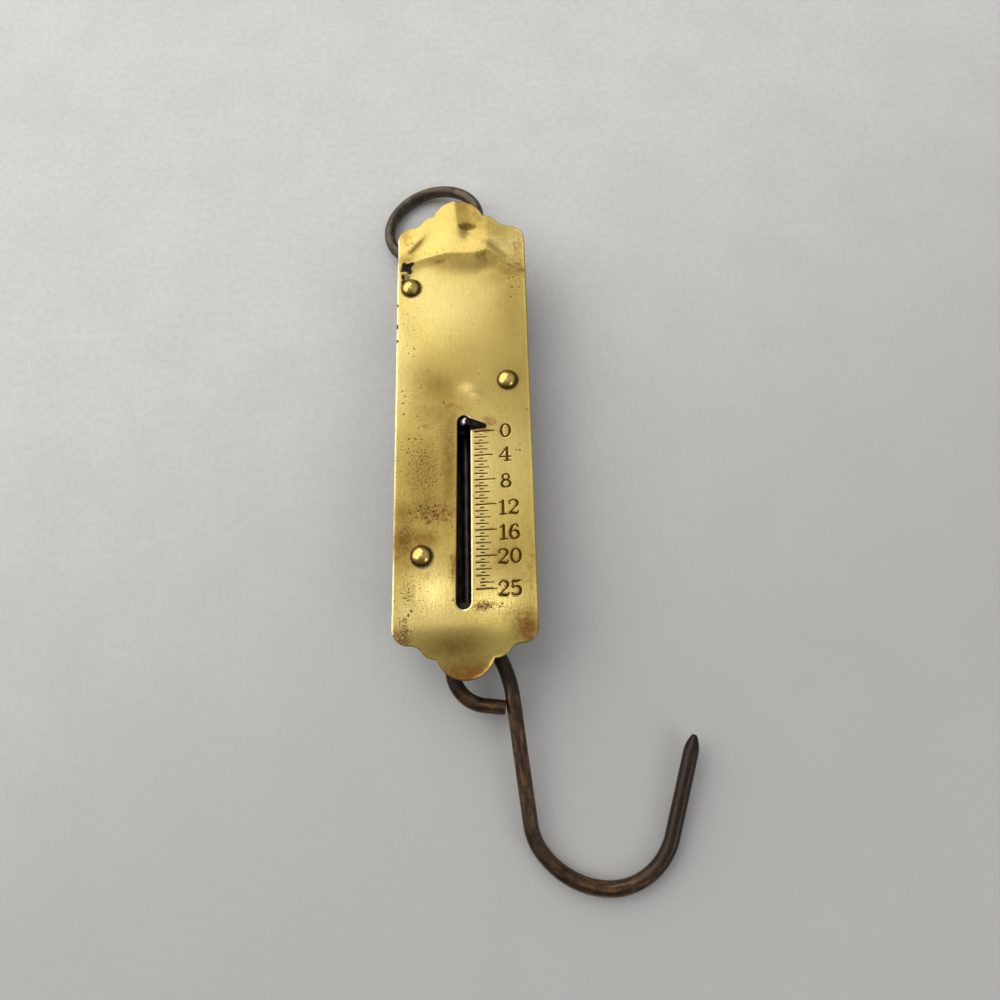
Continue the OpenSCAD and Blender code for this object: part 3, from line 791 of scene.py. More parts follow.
# Painted shade on the brass
SHADE_SPOTS = [
    (-9.0, -17, 7, 14, 0.67), (-3.3, -12, 2.8, 19, 0.9), (-14, -29.5, 5, 5, 1.0), (-9, -28.6, 4.5, 3, 0.95),
    (-13.5, -23, 4, 5, 0.85), (-13, -34.6, 3.2, 2.4, 0.6), (-2.2, -35, 1.3, 3.6, 0.75),
    (-5.5, 1.5, 6, 4.5, 0.62), (-2.6, -1, 2, 4, 0.75), (9, -34, 6, 7, 0.4), (15.6, -34, 1.6, 6, 0.35),
    (15.6, 24, 1.2, 17, 0.35), (12, 10, 5, 5, 0.4), (-2.2, -53, 7.2, 3.2, 0.9), (-15.2, -33, 1.8, 2, 0.8),
    (13.6, -49, 3.8, 4, 0.95), (0, -58.5, 8, 5, 0.95), (12.5, 30, 4.5, 12, 0.42), (5.6, 52.0, 3.2, 2.2, 0.6),
    (-14.6, 51.5, 1.5, 2.5, 0.6), (1.2, 41.4, 6, 2.6, 0.58, -4), (7.2, 42.0, 3.5, 3.0, 0.75, -20),
    (11.0, 39.0, 3.8, 2.0, 0.65, -35), (-3.2, 41.6, 4, 2.4, 0.5, 6), (-5.4, 42.5, 2.8, 1.1, 0.95, 14),
    (-5.0, 7.6, 5.8, 5.2, 0.78, -34), (-11.2, 47.2, 4.0, 0.8, 0.9, 50), (8.6, 46.7, 2.4, 0.8, 0.5, -40),
    (-14, 43.6, 2.4, 1.8, 0.8), (-12.4, 40.5, 2.0, 1.6, 0.4), (7, 50.5, 3, 1.6, 0.35),
    (9.5, 37.5, 4, 3, 0.45),
]
POLISH_SPOTS = [
    (-8, -40.5, 6, 4.5, 0.9), (7, -43.5, 8, 4.0, 0.9), (0, 48, 14, 8, 0.4), (2, 7, 4, 2.4, 0.4, -25),
]
# Painted highlights on the brass
HIGHLIGHT_SPOTS = [
    (-6, 49, 8, 5, 0.2), (-4, 30, 12, 9, 1.0), (-15, 19, 5, 14, 0.75), (-7, -42.5, 7, 7, 1.0),
    (7, -43.5, 5, 3.6, 0.7), (1.8, 6.8, 2.6, 1.8, 1.0, -25), (-14.5, 8, 2.5, 9, 0.7), (12.5, 46.5, 5, 4, 1.0),
    (4.6, -11, 5, 11, 1.0), (11, -10, 5, 9, 0.7), (15, 52, 2, 2, 0.8), (4, 32, 6, 7, 0.7),
    (3.4, -30, 2.6, 13, 1.0), (6, -39, 5, 3, 0.7), (-9, 37.5, 5, 4, 0.8), (-12.5, -46, 3, 4.5, 1.0),
]
SOOT_SPOTS = [
    (-14.6, 38.4, 0.7, 1.5, 0.8, 10), (-14.4, 36.9, 0.9, 1.0, 0.9), (-13.9, 42.9, 1.2, 0.6, 0.35),
    (-12.2, 40.0, 0.7, 0.6, 0.5), (-11.9, 42.3, 0.5, 0.3, 0.5, 20), (-15.3, 39.6, 0.4, 0.6, 0.5),
    (13.2, -49.2, 1.3, 1.0, 0.4), (-15.9, 30.5, 0.4, 0.6, 0.8), (-15.9, 24.6, 0.4, 0.9, 0.85),
    (-15.8, 20.7, 0.4, 0.6, 0.8),
]
PLATE_SPOTS = {
    "specks": SPECK_SPOTS, "stain": STAIN_SPOTS, "painted_shade": SHADE_SPOTS, "polish": POLISH_SPOTS,
    "painted_highlight": HIGHLIGHT_SPOTS, "soot_and_shadow": SOOT_SPOTS,
}
# Fields of small dark nicks, as (x, y, reach across, reach along, count, largest radius)
NICK_FIELDS = [
    (-7.5, -23, 5, 2.5, 16, 0.4), (-12.5, -45, 1, 4.5, 6, 0.45), (5.5, -44.5, 3.5, 0.8, 8, 0.28),
    (13, -8, 0.8, 1.5, 3, 0.35), (-11, -6, 2.5, 4.5, 7, 0.35), (-2, -7.5, 0.3, 1.3, 2, 0.25),
    (-14, 5.5, 0.5, 4.5, 4, 0.38), (-4.5, 4, 0, 0, 1, 0.35), (4, 11, 0, 0, 1, 0.22),
    (-12.5, 18.5, 2.5, 1.5, 3, 0.3), (13, 34, 1.6, 4.5, 6, 0.35), (-7.5, 45, 5.5, 0.8, 6, 0.26),
    (15, 1.5, 0, 0, 1, 0.3), (-2.5, -43, 0, 0, 1, 0.32), (12.5, -39, 0, 0, 1, 0.22),
]
GOLDEN_TURN = 2.4


def spots(points, table):
    return np.maximum.reduce([dent(points, *spot) for spot in table])


def scattered(x, y, across, along, count, largest):
    """Nicks spread over one oval field by the golden angle, as (x, y, radius)."""
    nicks = []
    for k in range(count):
        share = math.sqrt((k + 0.5) / count)
        turn = GOLDEN_TURN * k + x + y
        radius = largest * (0.8 + 0.2 * math.cos(2.2 * k))
        nicks.append((x + across * share * math.cos(turn), y + along * share * math.sin(turn), radius))
    return nicks


NICKS = [nick for field in NICK_FIELDS for nick in scattered(*field)]


def nicked(points):
    """How deep in a nick each point is, from 0 to 1. The nicks are oval and turned all ways."""
    ovals = []
    for k, (x, y, radius) in enumerate(NICKS):
        ovals.append((x, y, 1.15 * radius, 0.7 * radius, 1.0, 67 * k % 180 - 90))
    return spots(points, ovals)


# The oval round the hollow in the tab that has closer points, and their steps. Each nick has rings of
# points, at these shares of its radius
CLOSE_MIDDLE = np.array([1.8, 51.6])
CLOSE_REACH = np.array([4.6, 3.4])
CLOSE_STEP = (0.22, 0.2)
NICK_RINGS = (0.6, 1.05, 1.5)


def finer_points(free):
    """Closer points round each nick and at the hollow in the tab."""
    rings = []
    for x, y, radius in NICKS:
        free = free[np.hypot(free[:, 0] - x, free[:, 1] - y) > 1.8 * radius]
        rings.append([[x, y]])
        for share in NICK_RINGS:
            rings.append(arc((x, y), share * radius, 0, 360, 8)[:-1])
    free = free[np.linalg.norm((free - CLOSE_MIDDLE) / CLOSE_REACH, axis=1) > 1]
    steps = [np.arange(-1, 1, step / reach) for step, reach in zip(CLOSE_STEP, CLOSE_REACH)]
    close = mesh_points(*steps)
    close = close[np.linalg.norm(close, axis=1) < 0.97] * CLOSE_REACH + CLOSE_MIDDLE
    return np.vstack([free, *rings, close])


def shaded(points):
    """Painted shade below the crest, right of the ridge in the tab and in its hollow, each with one sharp
    edge.
    """
    x, y = points[:, 0], points[:, 1]
    below = (np.interp(x, *zip(*CREST)) - y) / np.interp(x, *zip(*BAND))
    band = smoothstep(0, 0.05, below) * smoothstep(1.0, 0.1, below) ** 2
    band *= 0.65 + 0.15 * smoothstep(2, 7, x) - 0.35 * smoothstep(-7.5, -11, x)
    away = x - np.interp(y, *zip(*RIDGE))
    tab = smoothstep(0, 0.4, away) * smoothstep(51.5, 54.5, y) * smoothstep(9, 4, x)
    hollow = smoothstep(0.35, 0.6, dent(points, 1.5, 52.4, 3.1, 1.25, 1.0, -4))
    return np.maximum.reduce([band, 0.7 * tab, hollow * smoothstep(0, 0.3, away)])


CRUST = (-13.75, 41.1)
CRUST_R = 0.9
CRUST_ARM = 0.7
CRUST_STEP = 0.25


def crust_loop():
    """The ragged outline of the black crust, a star with arms."""
    points = []
    for turn in np.radians(np.arange(64) * 360 / 64):
        way = np.array([math.cos(turn), math.sin(turn)])
        ragged = rough_at(*way * 3.1, 8.1)
        fine = rough_at(*way * 9, 2.3)
        arm = max(0, math.cos(4 * turn - 2.4))
        reach = CRUST_R + (CRUST_ARM + 0.5 * ragged) * arm + 0.3 * ragged + 0.35 * fine
        points.append(CRUST + reach * way)
    return resampled(np.array(points), CRUST_STEP)


def halo(points):
    """The dark dirt round each rivet, widened at its lower right by a painted shadow of the head."""
    rings = []
    for place in RIVETS:
        away = np.linalg.norm(points - place, axis=1)
        side = (points - place) @ np.array([0.5, -0.5])
        width = 0.75 + 0.25 * np.clip(side, -1, 2)
        rings.append(np.exp(-((np.clip(away - 2.1, 0, None) / width) ** 2)))
    return np.maximum.reduce(rings)


# Face plate: mesh

EDGE_INSETS = [0.05, 0.11, 0.2, 0.42]
# A sheared edge is rounded over this width and depth, and has a burr of this height, place and width
ROUND_W = 0.18
ROUND_FALL = 0.12
BURR_H = 0.035
BURR_IN = 0.17
BURR_W = 0.09
# The slot's right rim and the plate's left one are worn round, to this width and depth
RIM = 0.34
RIM_FALL = 0.12
# The right half of the lower tab's edge is turned up, by this height over this width
LIP = 0.26
LIP_W = 0.6
NICK_DEPTH = 0.03
# How far points keep from the plate's borders: those in rows, those added later and those on a crease
ROW_GAP = EDGE_INSETS[-1] + 0.12
ADDED_GAP = EDGE_INSETS[-1] + 0.08
CREASE_GAP = EDGE_INSETS[-1] + 0.05
# How far free points keep from a crease, from the crust's outline and from a stroke
CREASE_ROOM = 0.2
CRUST_ROOM = 0.1
STROKE_ROOM = 0.12
# The crust's floor lies this deep, give or take
CRUST_DEPTH = 0.3
CRUST_ROUGH = 0.22
BACK_STEP = 1.6


def edge_profile(distance):
    """How the front falls and rises beside a sheared edge: a round-over, then a fine burr."""
    fall = ROUND_FALL * (1 - np.clip(distance / ROUND_W, 0, 1)) ** 2
    return BURR_H * np.exp(-(((distance - BURR_IN) / BURR_W) ** 2)) - fall


def mesh_points(xs, ys):
    across, up = np.meshgrid(xs, ys)
    return np.column_stack([across.ravel(), up.ravel()])


def grid_points(borders, step, margin):
    """Points in rows of triangles, clear of all edges."""
    xs = np.arange(-FACE_W / 2, FACE_W / 2, step)
    ys = np.arange(-TAB_TIP_Y, TAB_TIP_Y + 0.5, step * 0.866)
    points = mesh_points(xs, ys)
    points[:, 0] += np.repeat(np.arange(len(ys)) % 2 * step / 2, len(xs))
    return clear_of(borders, points[on_sheet(borders, points)], margin)


def triangulated(loops, lines, free):
    """Triangles over closed loops, open lines and loose points. The loops' points come first."""
    points, edges = [], []
    for line, closed in [(loop, True) for loop in loops] + [(line, False) for line in lines]:
        first, count = len(points), len(line)
        points += [Vector(p) for p in line]
        edges += [(first + k, first + (k + 1) % count) for k in range(count if closed else count - 1)]
    points += [Vector(p) for p in free]
    result = delaunay_2d_cdt(points, edges, [], 0, 1e-5)
    vertices = np.array([tuple(v) for v in result[0]])
    where = {old: new for new, olds in enumerate(result[3]) for old in olds}
    return vertices, np.array(result[2]), where


def cut_sheet(borders, rings, lines, free):
    """Triangles over the sheet inside the first border and outside all others."""
    vertices, triangles, where = triangulated([*borders, *rings], lines, free)
    return vertices, triangles[on_sheet(borders, vertices[triangles].mean(axis=1))], where


def shell_faces(front, back, where, back_where, borders, shift):
    """The faces of a sheet: its front, its back turned over, and a wall along each border."""
    faces = [tuple(int(i) for i in t) for t in front]
    faces += [tuple(int(i) + shift for i in t[::-1]) for t in back]
    first = 0
    for loop in borders:
        for k in range(len(loop)):
            a, b = first + k, first + (k + 1) % len(loop)
            faces.append((where[b], where[a], back_where[a] + shift, back_where[b] + shift))
        first += len(loop)
    return faces


def engraved_points(borders, star, strokes):
    """The front's free points and the lines that its triangles follow."""
    outline = borders[0]
    lines = []
    for stroke in strokes:
        edge = stroke_outline(stroke)
        lines += [np.vstack([edge, edge[:1]]), stroke[:, :2]]
    free = finer_points(grid_points(borders, GRID_STEP, ROW_GAP))
    free = clear_of(borders, free[inside(outline, free)], ADDED_GAP)
    for crease in crease_lines():
        crease = clear_of([outline], crease[inside(outline, crease)], CREASE_GAP)
        lines.append(crease)
        for start, end in zip(crease, crease[1:]):
            free = free[segment_distance(free, start, end)[0] > CREASE_ROOM]
    free = clear_of([star], free, CRUST_ROOM)
    wider = [stroke + (0, 0, STROKE_ROOM) for stroke in strokes]
    return free[groove(free, wider) <= 0], lines


def front_height(flat, outline, slot, star, strokes):
    """The front's height over the flat plate, and the points where its rim is worn round, which also get a
    painted highlight.
    """
    x, y = flat[:, 0], flat[:, 1]
    outer_gap = loop_distance(outline, flat)
    slot_gap = loop_distance(slot, flat)
    edge_gap = np.minimum(outer_gap, slot_gap)
    worn_and_lit = (slot_gap < RIM) & ((x > 0.5) | (y < -44))
    worn_and_lit |= (outer_gap < RIM) & (x < -14.5) & (abs(y) < 50)
    round_over = -RIM_FALL * (1 - edge_gap / RIM).clip(0, 1) ** 1.5
    height = face_height(flat) + np.where(worn_and_lit, round_over, edge_profile(edge_gap))
    lip = np.clip(1 - outer_gap / LIP_W, 0, 1) ** 2
    height += LIP * lip * smoothstep(-54.6, -56.5, y) * smoothstep(0.8, 2.5, x)
    height -= np.maximum(GROOVE_DEPTH * groove(flat, strokes), NICK_DEPTH * nicked(flat))
    in_star = inside(star, flat) & (loop_distance(star, flat) > 0.02)
    pit = [CRUST_DEPTH + CRUST_ROUGH * rough_at(a * 2.2, b * 2.2, 1.0) for a, b in flat]
    return height - np.where(in_star, pit, 0), worn_and_lit


def plate_looks(points, star):
    """What the brass reads at each point: its stains, spots, worn places and nicks, and its painted
    highlights and shade.
    """
    looks = {name: spots(points, table) for name, table in PLATE_SPOTS.items()}
    near_crust = np.exp(-((loop_distance(star, points) / 0.35) ** 2))
    # Soot by the crust, and dirt round the rivets with their painted shadow
    looks["soot_and_shadow"] = np.maximum.reduce([looks["soot_and_shadow"], 0.75 * halo(points), 0.8 * near_crust])
    looks["painted_shade"] = np.maximum(looks["painted_shade"], shaded(points))
    looks["nick"] = nicked(points)
    return looks


def make_face_plate(brass, engraving, crust):
    outline = bent(resampled(face_outline(), EDGE_STEP))
    slot = slot_loop()
    borders = [outline, slot, *(rivet_loop(place) for place in RIVETS)]
    star = crust_loop()
    strokes = [resampled(line, STROKE_STEP, False) for line in scale_strokes() + number_strokes()]
    free, lines = engraved_points(borders, star, strokes)
    rings = [inset(loop, gap) for loop in (outline, slot) for gap in EDGE_INSETS]
    flat, triangles, where = cut_sheet(borders, [*rings, star], lines, free)
    height, worn_and_lit = front_height(flat, outline, slot, star, strokes)

    # The back has the same border points and a coarser inside
    back_free = grid_points(borders, BACK_STEP, BACK_STEP / 2)
    back, back_triangles, back_where = cut_sheet(borders, [], [], back_free)
    vertices = np.vstack([
        np.column_stack([flat, FACE_Z + height]),
        np.column_stack([back, FACE_BACK_Z + face_height(back)]),
    ])
    faces = shell_faces(triangles, back_triangles, where, back_where, borders, len(flat))
    middle = flat[triangles].mean(axis=1)
    kinds = np.zeros(len(faces), np.int32)
    kinds[:len(triangles)] = np.where(inside(star, middle), 2, groove(middle, strokes) > 0)

    materials = [brass, engraving, crust]
    plate = new_piece("brass_face", vertices, faces, materials, "case", "face_plate", 32)
    plate.data.polygons.foreach_set("material_index", kinds)
    # The worn rims, for their painted highlight
    store(plate, "rim_highlight", np.concatenate([worn_and_lit, np.zeros(len(back))]))
    for name, values in plate_looks(vertices[:, :2], star).items():
        store(plate, name, values)


# Rivets

def lathe(profile, sides):
    """A closed skin turned round Z from (radius, height) pairs, both ends of it on the axis."""
    vertices = [(0, 0, profile[0][1])]
    for radius, height in profile[1:-1]:
        for turn in np.radians(np.arange(sides) * 360 / sides):
            vertices.append((radius * math.cos(turn), radius * math.sin(turn), height))
    vertices.append((0, 0, profile[-1][1]))
    faces = []
    last = len(vertices) - 1
    for k in range(sides):
        n = (k + 1) % sides
        faces.append((0, 1 + n, 1 + k))
        faces.append((last, last - sides + k, last - sides + n))
        for low in range(1, last - sides, sides):
            faces.append((low + k, low + n, low + sides + n, low + sides + k))
    return np.array(vertices), faces


HEAD_R = 2.25
HEAD_H = 1.1
HEAD_SHARES = (1, 0.985, 0.96, 0.92, 0.86, 0.78, 0.69, 0.6, 0.5, 0.4, 0.3, 0.2, 0.1)
SHANK_R = 1.2
TAIL_R = 1.6
TAIL_H = 0.7
WASHER_Z = 11.9
RIVET_SIDES = 40
# How deep and how close together the knocks on a head are, and how far its rim is from round
KNOCK = 0.2
KNOCK_FREQ = 0.62
WOBBLE = 0.02
WOBBLE_FREQ = 0.9


def rivet_profile():
    """Peened tail, shank and domed head."""
    profile = [(0, WASHER_Z - TAIL_H)]
    for turn in np.linspace(0.25, 1.5, 6):
        profile.append((TAIL_R * math.sin(turn), WASHER_Z - TAIL_H * math.cos(turn)))
    profile += [(SHANK_R, WASHER_Z + 0.02), (SHANK_R, FACE_Z - 0.12), (HEAD_R - 0.25, FACE_Z - 0.1)]
    ball_r = (HEAD_R ** 2 + HEAD_H ** 2) / (2 * HEAD_H)
    top = FACE_Z + HEAD_H - 0.01
    for radius in HEAD_R * np.array(HEAD_SHARES):
        profile.append((radius, top - ball_r + math.sqrt(ball_r ** 2 - radius ** 2)))
    return [*profile, (0, top)]


def make_rivet(index, place, material):
    """A rivet with soft facets that a hammer has left on its head."""
    vertices, faces = lathe(rivet_profile(), RIVET_SIDES)
    head = vertices[:, 2] > FACE_Z
    for k in np.where(head)[0]:
        x, y, z = vertices[k]
        knock = rough_at(x * KNOCK_FREQ, y * KNOCK_FREQ, 5.3 * index + 2)
        vertices[k, 2] -= KNOCK * max(0, knock) * (z - FACE_Z) / HEAD_H
        wobble = 1 + WOBBLE * rough_at(x * WOBBLE_FREQ, y * WOBBLE_FREQ, 9 + index)
        vertices[k, :2] *= min(wobble, 1.0)
    away = np.hypot(vertices[:, 0], vertices[:, 1])
    foot = np.where(head, smoothstep(1.5, 2.15, away), 1.0)
    vertices[:, :2] += place
    node = f"face_rivet_{index}"
    piece = new_piece(f"rivet_{index}", vertices, faces, [material], "case", node, 50)
    store(piece, "foot", foot)


# Wires

WIRE_SIDES = 28
# A wire's surface has these coordinates for its streaks, along it and round it
STREAK_ALONG = 0.22
STREAK_ROUND = 2.2


def swept(centres, normals, sideways, radii, sides):
    """A skin round a path, closed at both ends, with every vertex's place along and round the wire."""
    vertices, wire = [], []
    travelled = 0.0
    for k, centre in enumerate(centres):
        if k:
            travelled += np.linalg.norm(centre - centres[k - 1])
        for turn in np.arange(sides) * 2 * math.pi / sides:
            c, s = math.cos(turn), math.sin(turn)
            vertices.append(centre + radii[k] * (c * sideways[k] + s * normals[k]))
            wire.append((travelled * STREAK_ALONG, STREAK_ROUND * c, STREAK_ROUND * s))
    faces = []
    last = (len(centres) - 1) * sides
    for low in range(0, last, sides):
        for k in range(sides):
            n = (k + 1) % sides
            faces.append((low + k, low + sides + k, low + sides + n, low + n))
    faces.append(tuple(range(sides)))
    faces.append(tuple(range(last, last + sides))[::-1])
    return np.array(vertices), faces, wire


def roughened(vertices, centres, amount, seed):
    """Drawn and bent wire isn't perfectly round: each point moves a little towards its centre."""
    moved = vertices.copy()
    for k, vertex in enumerate(vertices):
        centre = centres[k // WIRE_SIDES]
        push = noise.noise(Vector(vertex * 0.22) + Vector((seed, 0, 0)))
        fine = noise.noise(Vector(vertex * 0.9) + Vector((0, seed, 0)))
        scale = 1 - amount * (0.5 + 0.5 * push) - 0.4 * amount * (0.5 + 0.5 * fine)
        moved[k] = centre + (vertex - centre) * scale
    return moved


AXIS_Z = 7.0
REST_GAP = 0.02
HOOK_WIRE = 3.4
HOOK_EYE_Y = -52.4
HOOK_HEADING = 21.5
POINT_L = 4.0
# A step along a bent wire is a straight (length,) or a bend (radius, angle)
HOOK_DOWN = [
    (5.6, -83.3), (24, -21.7), (26.5,), (11.6, 27.9), (18.2, 48.6), (14.2, 80), (21.5 - POINT_L,),
]
HOOK_BACK = [(5.6, 77.2), (8, 74.5), (4.6,)]
BOWL_STEPS = 5
BOWL_R = 14.2
# The filed point: the share of its length, and the share of the wire's radius there
POINT_SHAPE = [
    (0.12, 0.995), (0.25, 0.97), (0.4, 0.9), (0.6, 0.75), (0.78, 0.57), (0.9, 0.43), (0.97, 0.32), (1.0, 0.2),
]
HOOK_STEP = 0.8
HOOK_ROUGH = 0.035


def after_step(at, step):
    """The place (x, y, heading) that a step along the wire leads to."""
    x, y, heading = at
    start = math.radians(heading)
    if len(step) == 1:
        return (x + step[0] * math.cos(start), y + step[0] * math.sin(start), heading)
    radius = math.copysign(step[0], step[1])
    end = math.radians(heading + step[1])
    across = radius * (math.sin(end) - math.sin(start))
    return (x + across, y - radius * (math.cos(end) - math.cos(start)), heading + step[1])


def walk(at, steps):
    for step in steps:
        at = after_step(at, step)
    return at


def wire_places(at, steps, spacing):
    """Places along a bent wire, at most one spacing apart."""
    places = [at]
    for step in steps:
        length = step[0] if len(step) == 1 else step[0] * math.radians(abs(step[1]))
        count = max(1, math.ceil(length / spacing))
        for k in range(1, count + 1):
            part = (*step[:-1], step[-1] * k / count)
            places.append(after_step(at, part))
        at = places[-1]
    return places


def hook_tilt():
    """How far the hook leans on its eye until its bowl rests on the table."""
    heading = math.radians(HOOK_HEADING)
    bowl = walk((0, 0, HOOK_HEADING), HOOK_DOWN[:BOWL_STEPS])
    turned = math.radians(bowl[2])
    centre = (bowl[0] - BOWL_R * math.sin(turned), bowl[1] + BOWL_R * math.cos(turned))
    reach = centre[0] * math.sin(heading) - centre[1] * math.cos(heading) + BOWL_R
    return math.asin((AXIS_Z - HOOK_WIRE / 2 - REST_GAP) / reach)


def hook_centres():
    """The wire's places and radii from its butt end round the eye and bowl to its point."""
    butt = walk((0, 0, HOOK_HEADING + 180), HOOK_BACK)
    back = [step if len(step) == 1 else (step[0], -step[1]) for step in reversed(HOOK_BACK)]
    places = wire_places((butt[0], butt[1], butt[2] - 180), [*back, *HOOK_DOWN], HOOK_STEP)
    shares = [1.0] * len(places)
    shares[0] = 0.86
    places.insert(1, after_step(places[0], (0.18,)))
    shares.insert(1, 0.97)
    end = places[-1]
    for share, width in POINT_SHAPE:
        places.append(after_step(end, (share * POINT_L,)))
        shares.append(width)
    return places, [share * HOOK_WIRE / 2 for share in shares]


def make_hook(material):
    places, radii = hook_centres()
    heading = math.radians(HOOK_HEADING)
    turn = Matrix.Rotation(heading, 3, "Z") @ Matrix.Rotation(hook_tilt(), 3, "X")
    turn = np.array(turn @ Matrix.Rotation(-heading, 3, "Z"))
    centres = np.array([(x, y, 0) for x, y, _ in places])
    headings = np.radians([h for _, _, h in places])
    sideways = np.column_stack([-np.sin(headings), np.cos(headings), np.zeros(len(places))])
    normals = np.tile((0.0, 0.0, 1.0), (len(places), 1))
    vertices, faces, wire = swept(centres, normals, sideways, radii, WIRE_SIDES)
    vertices = roughened(vertices, centres, HOOK_ROUGH, 4.0)
    vertices = vertices @ turn.T + (0, HOOK_EYE_Y, AXIS_Z)
    faces = [face[::-1] for face in faces]
    piece = new_piece("hook_wire", vertices, faces, [material], "hook", "load_hook", 60)
    store(piece, "wire", wire)
    # Bare metal shows along the upper side of the shank and in the bowl, where it is also a painted highlight
    x, y = vertices[:, 0], vertices[:, 1]
    shank = smoothstep(-60, -66, y) * smoothstep(-90, -80, y) * smoothstep(30, 24, x)
    bowl = smoothstep(-99, -104, y)
    eye = smoothstep(-62, -58, y)
    store(piece, "wear", 0.35 + 0.65 * np.maximum.reduce([shank, 0.8 * bowl, 0.7 * eye]))
    # Painted shade near the eye, under the plate's tab, and the right leg painted darker
    right_leg = smoothstep(27, 34, x) * smoothstep(-101, -97, y)
    store(piece, "dark", np.maximum(right_leg, smoothstep(-64, -60, y)))


RING_WIRE = 3.0
RING_R = 12.35
RING_EYE_Y = 51.7
RING_HEADING = 43.0
RING_STEPS = 144
# Half the gap at the ring's joint, in degrees
RING_JOINT = 0.6
RING_ROUGH = 0.03


def make_ring(material):
    heading = math.radians(RING_HEADING)
    tilt = math.asin((AXIS_Z - RING_WIRE / 2 - REST_GAP) / (2 * RING_R))
    turns = np.radians(np.linspace(-90 + RING_JOINT, 270 - RING_JOINT, RING_STEPS + 1))
    radial = np.column_stack([np.cos(turns), np.sin(turns), np.zeros(len(turns))])
    centres = radial * RING_R + (0, RING_R, 0)
    normals = np.tile((0.0, 0.0, 1.0), (len(turns), 1))
    radii = [RING_WIRE / 2] * len(turns)
    radii[0] = radii[-1] = RING_WIRE / 2 * 0.95
    vertices, faces, wire = swept(centres, normals, radial, radii, WIRE_SIDES)
    vertices = roughened(vertices, centres, RING_ROUGH, 11.0)
    turn = np.array(Matrix.Rotation(heading, 3, "Z") @ Matrix.Rotation(-tilt, 3, "X"))
    vertices = vertices @ turn.T + (0, RING_EYE_Y, AXIS_Z)
    piece = new_piece("ring_wire", vertices, faces, [material], "ring", "hanging_ring", 60)
    store(piece, "wire", wire)
    store(piece, "wear", 0.35 + 0.6 * smoothstep(66, 74, vertices[:, 1]))


# Spring

SPRING_WIRE = 1.4
SPRING_R = 4.9
SPRING_COILS = 14.5
SPRING_TOP_Y = 35.6
SPRING_LOW_Y = 3.0
SPRING_BEND_R = 1.5
SPRING_SIDES = 14
SPRING_STEPS = 28
BEND_STEPS = 8


def spring_path():
    """The wire's distance round its barrel, its y and its slope: both ends stand along Y."""
    low_y, top_y = SPRING_LOW_Y + SPRING_WIRE, SPRING_TOP_Y - SPRING_WIRE
    round_barrel = 2 * math.pi * SPRING_R * SPRING_COILS
    slope = math.atan((top_y - low_y - 2 * SPRING_BEND_R) / round_barrel)
    bend = []
    for a in np.linspace(math.pi / 2, slope, BEND_STEPS + 1):
        bend.append((SPRING_BEND_R * (1 - math.sin(a)), SPRING_BEND_R * math.cos(a), a))
    bent_x, bent_y, _ = bend.pop()
    end_x = 2 * bent_x + round_barrel
    rise = top_y - low_y - 2 * bent_y
    places = [(0, SPRING_LOW_Y, math.pi / 2)]
    places += [(x, low_y + y, a) for x, y, a in bend]
    for share in np.linspace(0, 1, round(SPRING_COILS * SPRING_STEPS) + 1):
        places.append((bent_x + share * round_barrel, low_y + bent_y + share * rise, slope))
    places += [(end_x - x, top_y - y, a) for x, y, a in reversed(bend)]
    return [*places, (end_x, SPRING_TOP_Y, math.pi / 2)]


def make_spring(material):
    centres, outs, acrosses = [], [], []
    for distance, y, slope in spring_path():
        c, s = math.cos(distance / SPRING_R), math.sin(distance / SPRING_R)
        out = np.array([c, 0, s])
        forward = np.array([-s * math.cos(slope), math.sin(slope), c * math.cos(slope)])
        centres.append(np.array([SPRING_R * c, y, AXIS_Z + SPRING_R * s]))
        outs.append(out)
        acrosses.append(np.cross(forward, out))
    radii = [SPRING_WIRE / 2] * len(centres)
    vertices, faces, wire = swept(centres, acrosses, outs, radii, SPRING_SIDES)
    faces = [face[::-1] for face in faces]
    node = "extension_spring"
    spring = new_piece("spring_wire", vertices, faces, [material], None, node, 60)
    store(spring, "wire", wire)
    store(spring, "wear", np.full(len(vertices), 0.4))
    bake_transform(spring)


# Pointer

BLADE_BACK_Z = 14.26
BLADE_Z = 15.0
BLADE_EDGE = 0.3
# The ridge's height and how far in from the edge it begins, then the same of the broken edge
RIDGE_H = 0.42
RIDGE_IN = 0.75
BREAK_H = 0.06
BREAK_IN = 0.06
BLADE_STEP = 0.17
KNOB = (1.0, -1.5)
KNOB_R = 1.15
KNOB_H = 0.66
PIN = (0.25, -1.35)
PIN_PROFILE = [(0, 8.32), (0.92, 8.32), (1.0, 8.42), (1.0, 14.35), (0, 14.35)]
PIN_SIDES = 24


def pointer_outline():
    """The blade's outline: a round head, a belly and a small round tip."""
    head = arc(KNOB, 1.3, 66, 235, 20)
    belly = arc((2.0, -2.0), 1.1, 235, 277, 6)
    tip = arc((5.05, -2.3), 0.46, -83, 66, 12)
    return resampled(np.vstack([head, belly, tip]), 0.16)


def blade_front(outline, flat):
    edge = loop_distance(outline, flat)
    thin = 1 - 0.1 * np.clip(flat[:, 0] - 1.5, 0, None)
    ridge = np.clip(edge / RIDGE_IN, 0, 1) * RIDGE_H + np.clip(edge / BREAK_IN, 0, 1) * BREAK_H
    around = np.hypot(flat[:, 0] - KNOB[0], flat[:, 1] - KNOB[1]) / KNOB_R
    dome = BLADE_Z - 0.1 + (KNOB_H + 0.1) * np.sqrt(np.clip(1.05 - around ** 2, 0, 1))
    return np.where(around < 1.001, dome, BLADE_BACK_Z + (BLADE_EDGE + ridge) * thin)


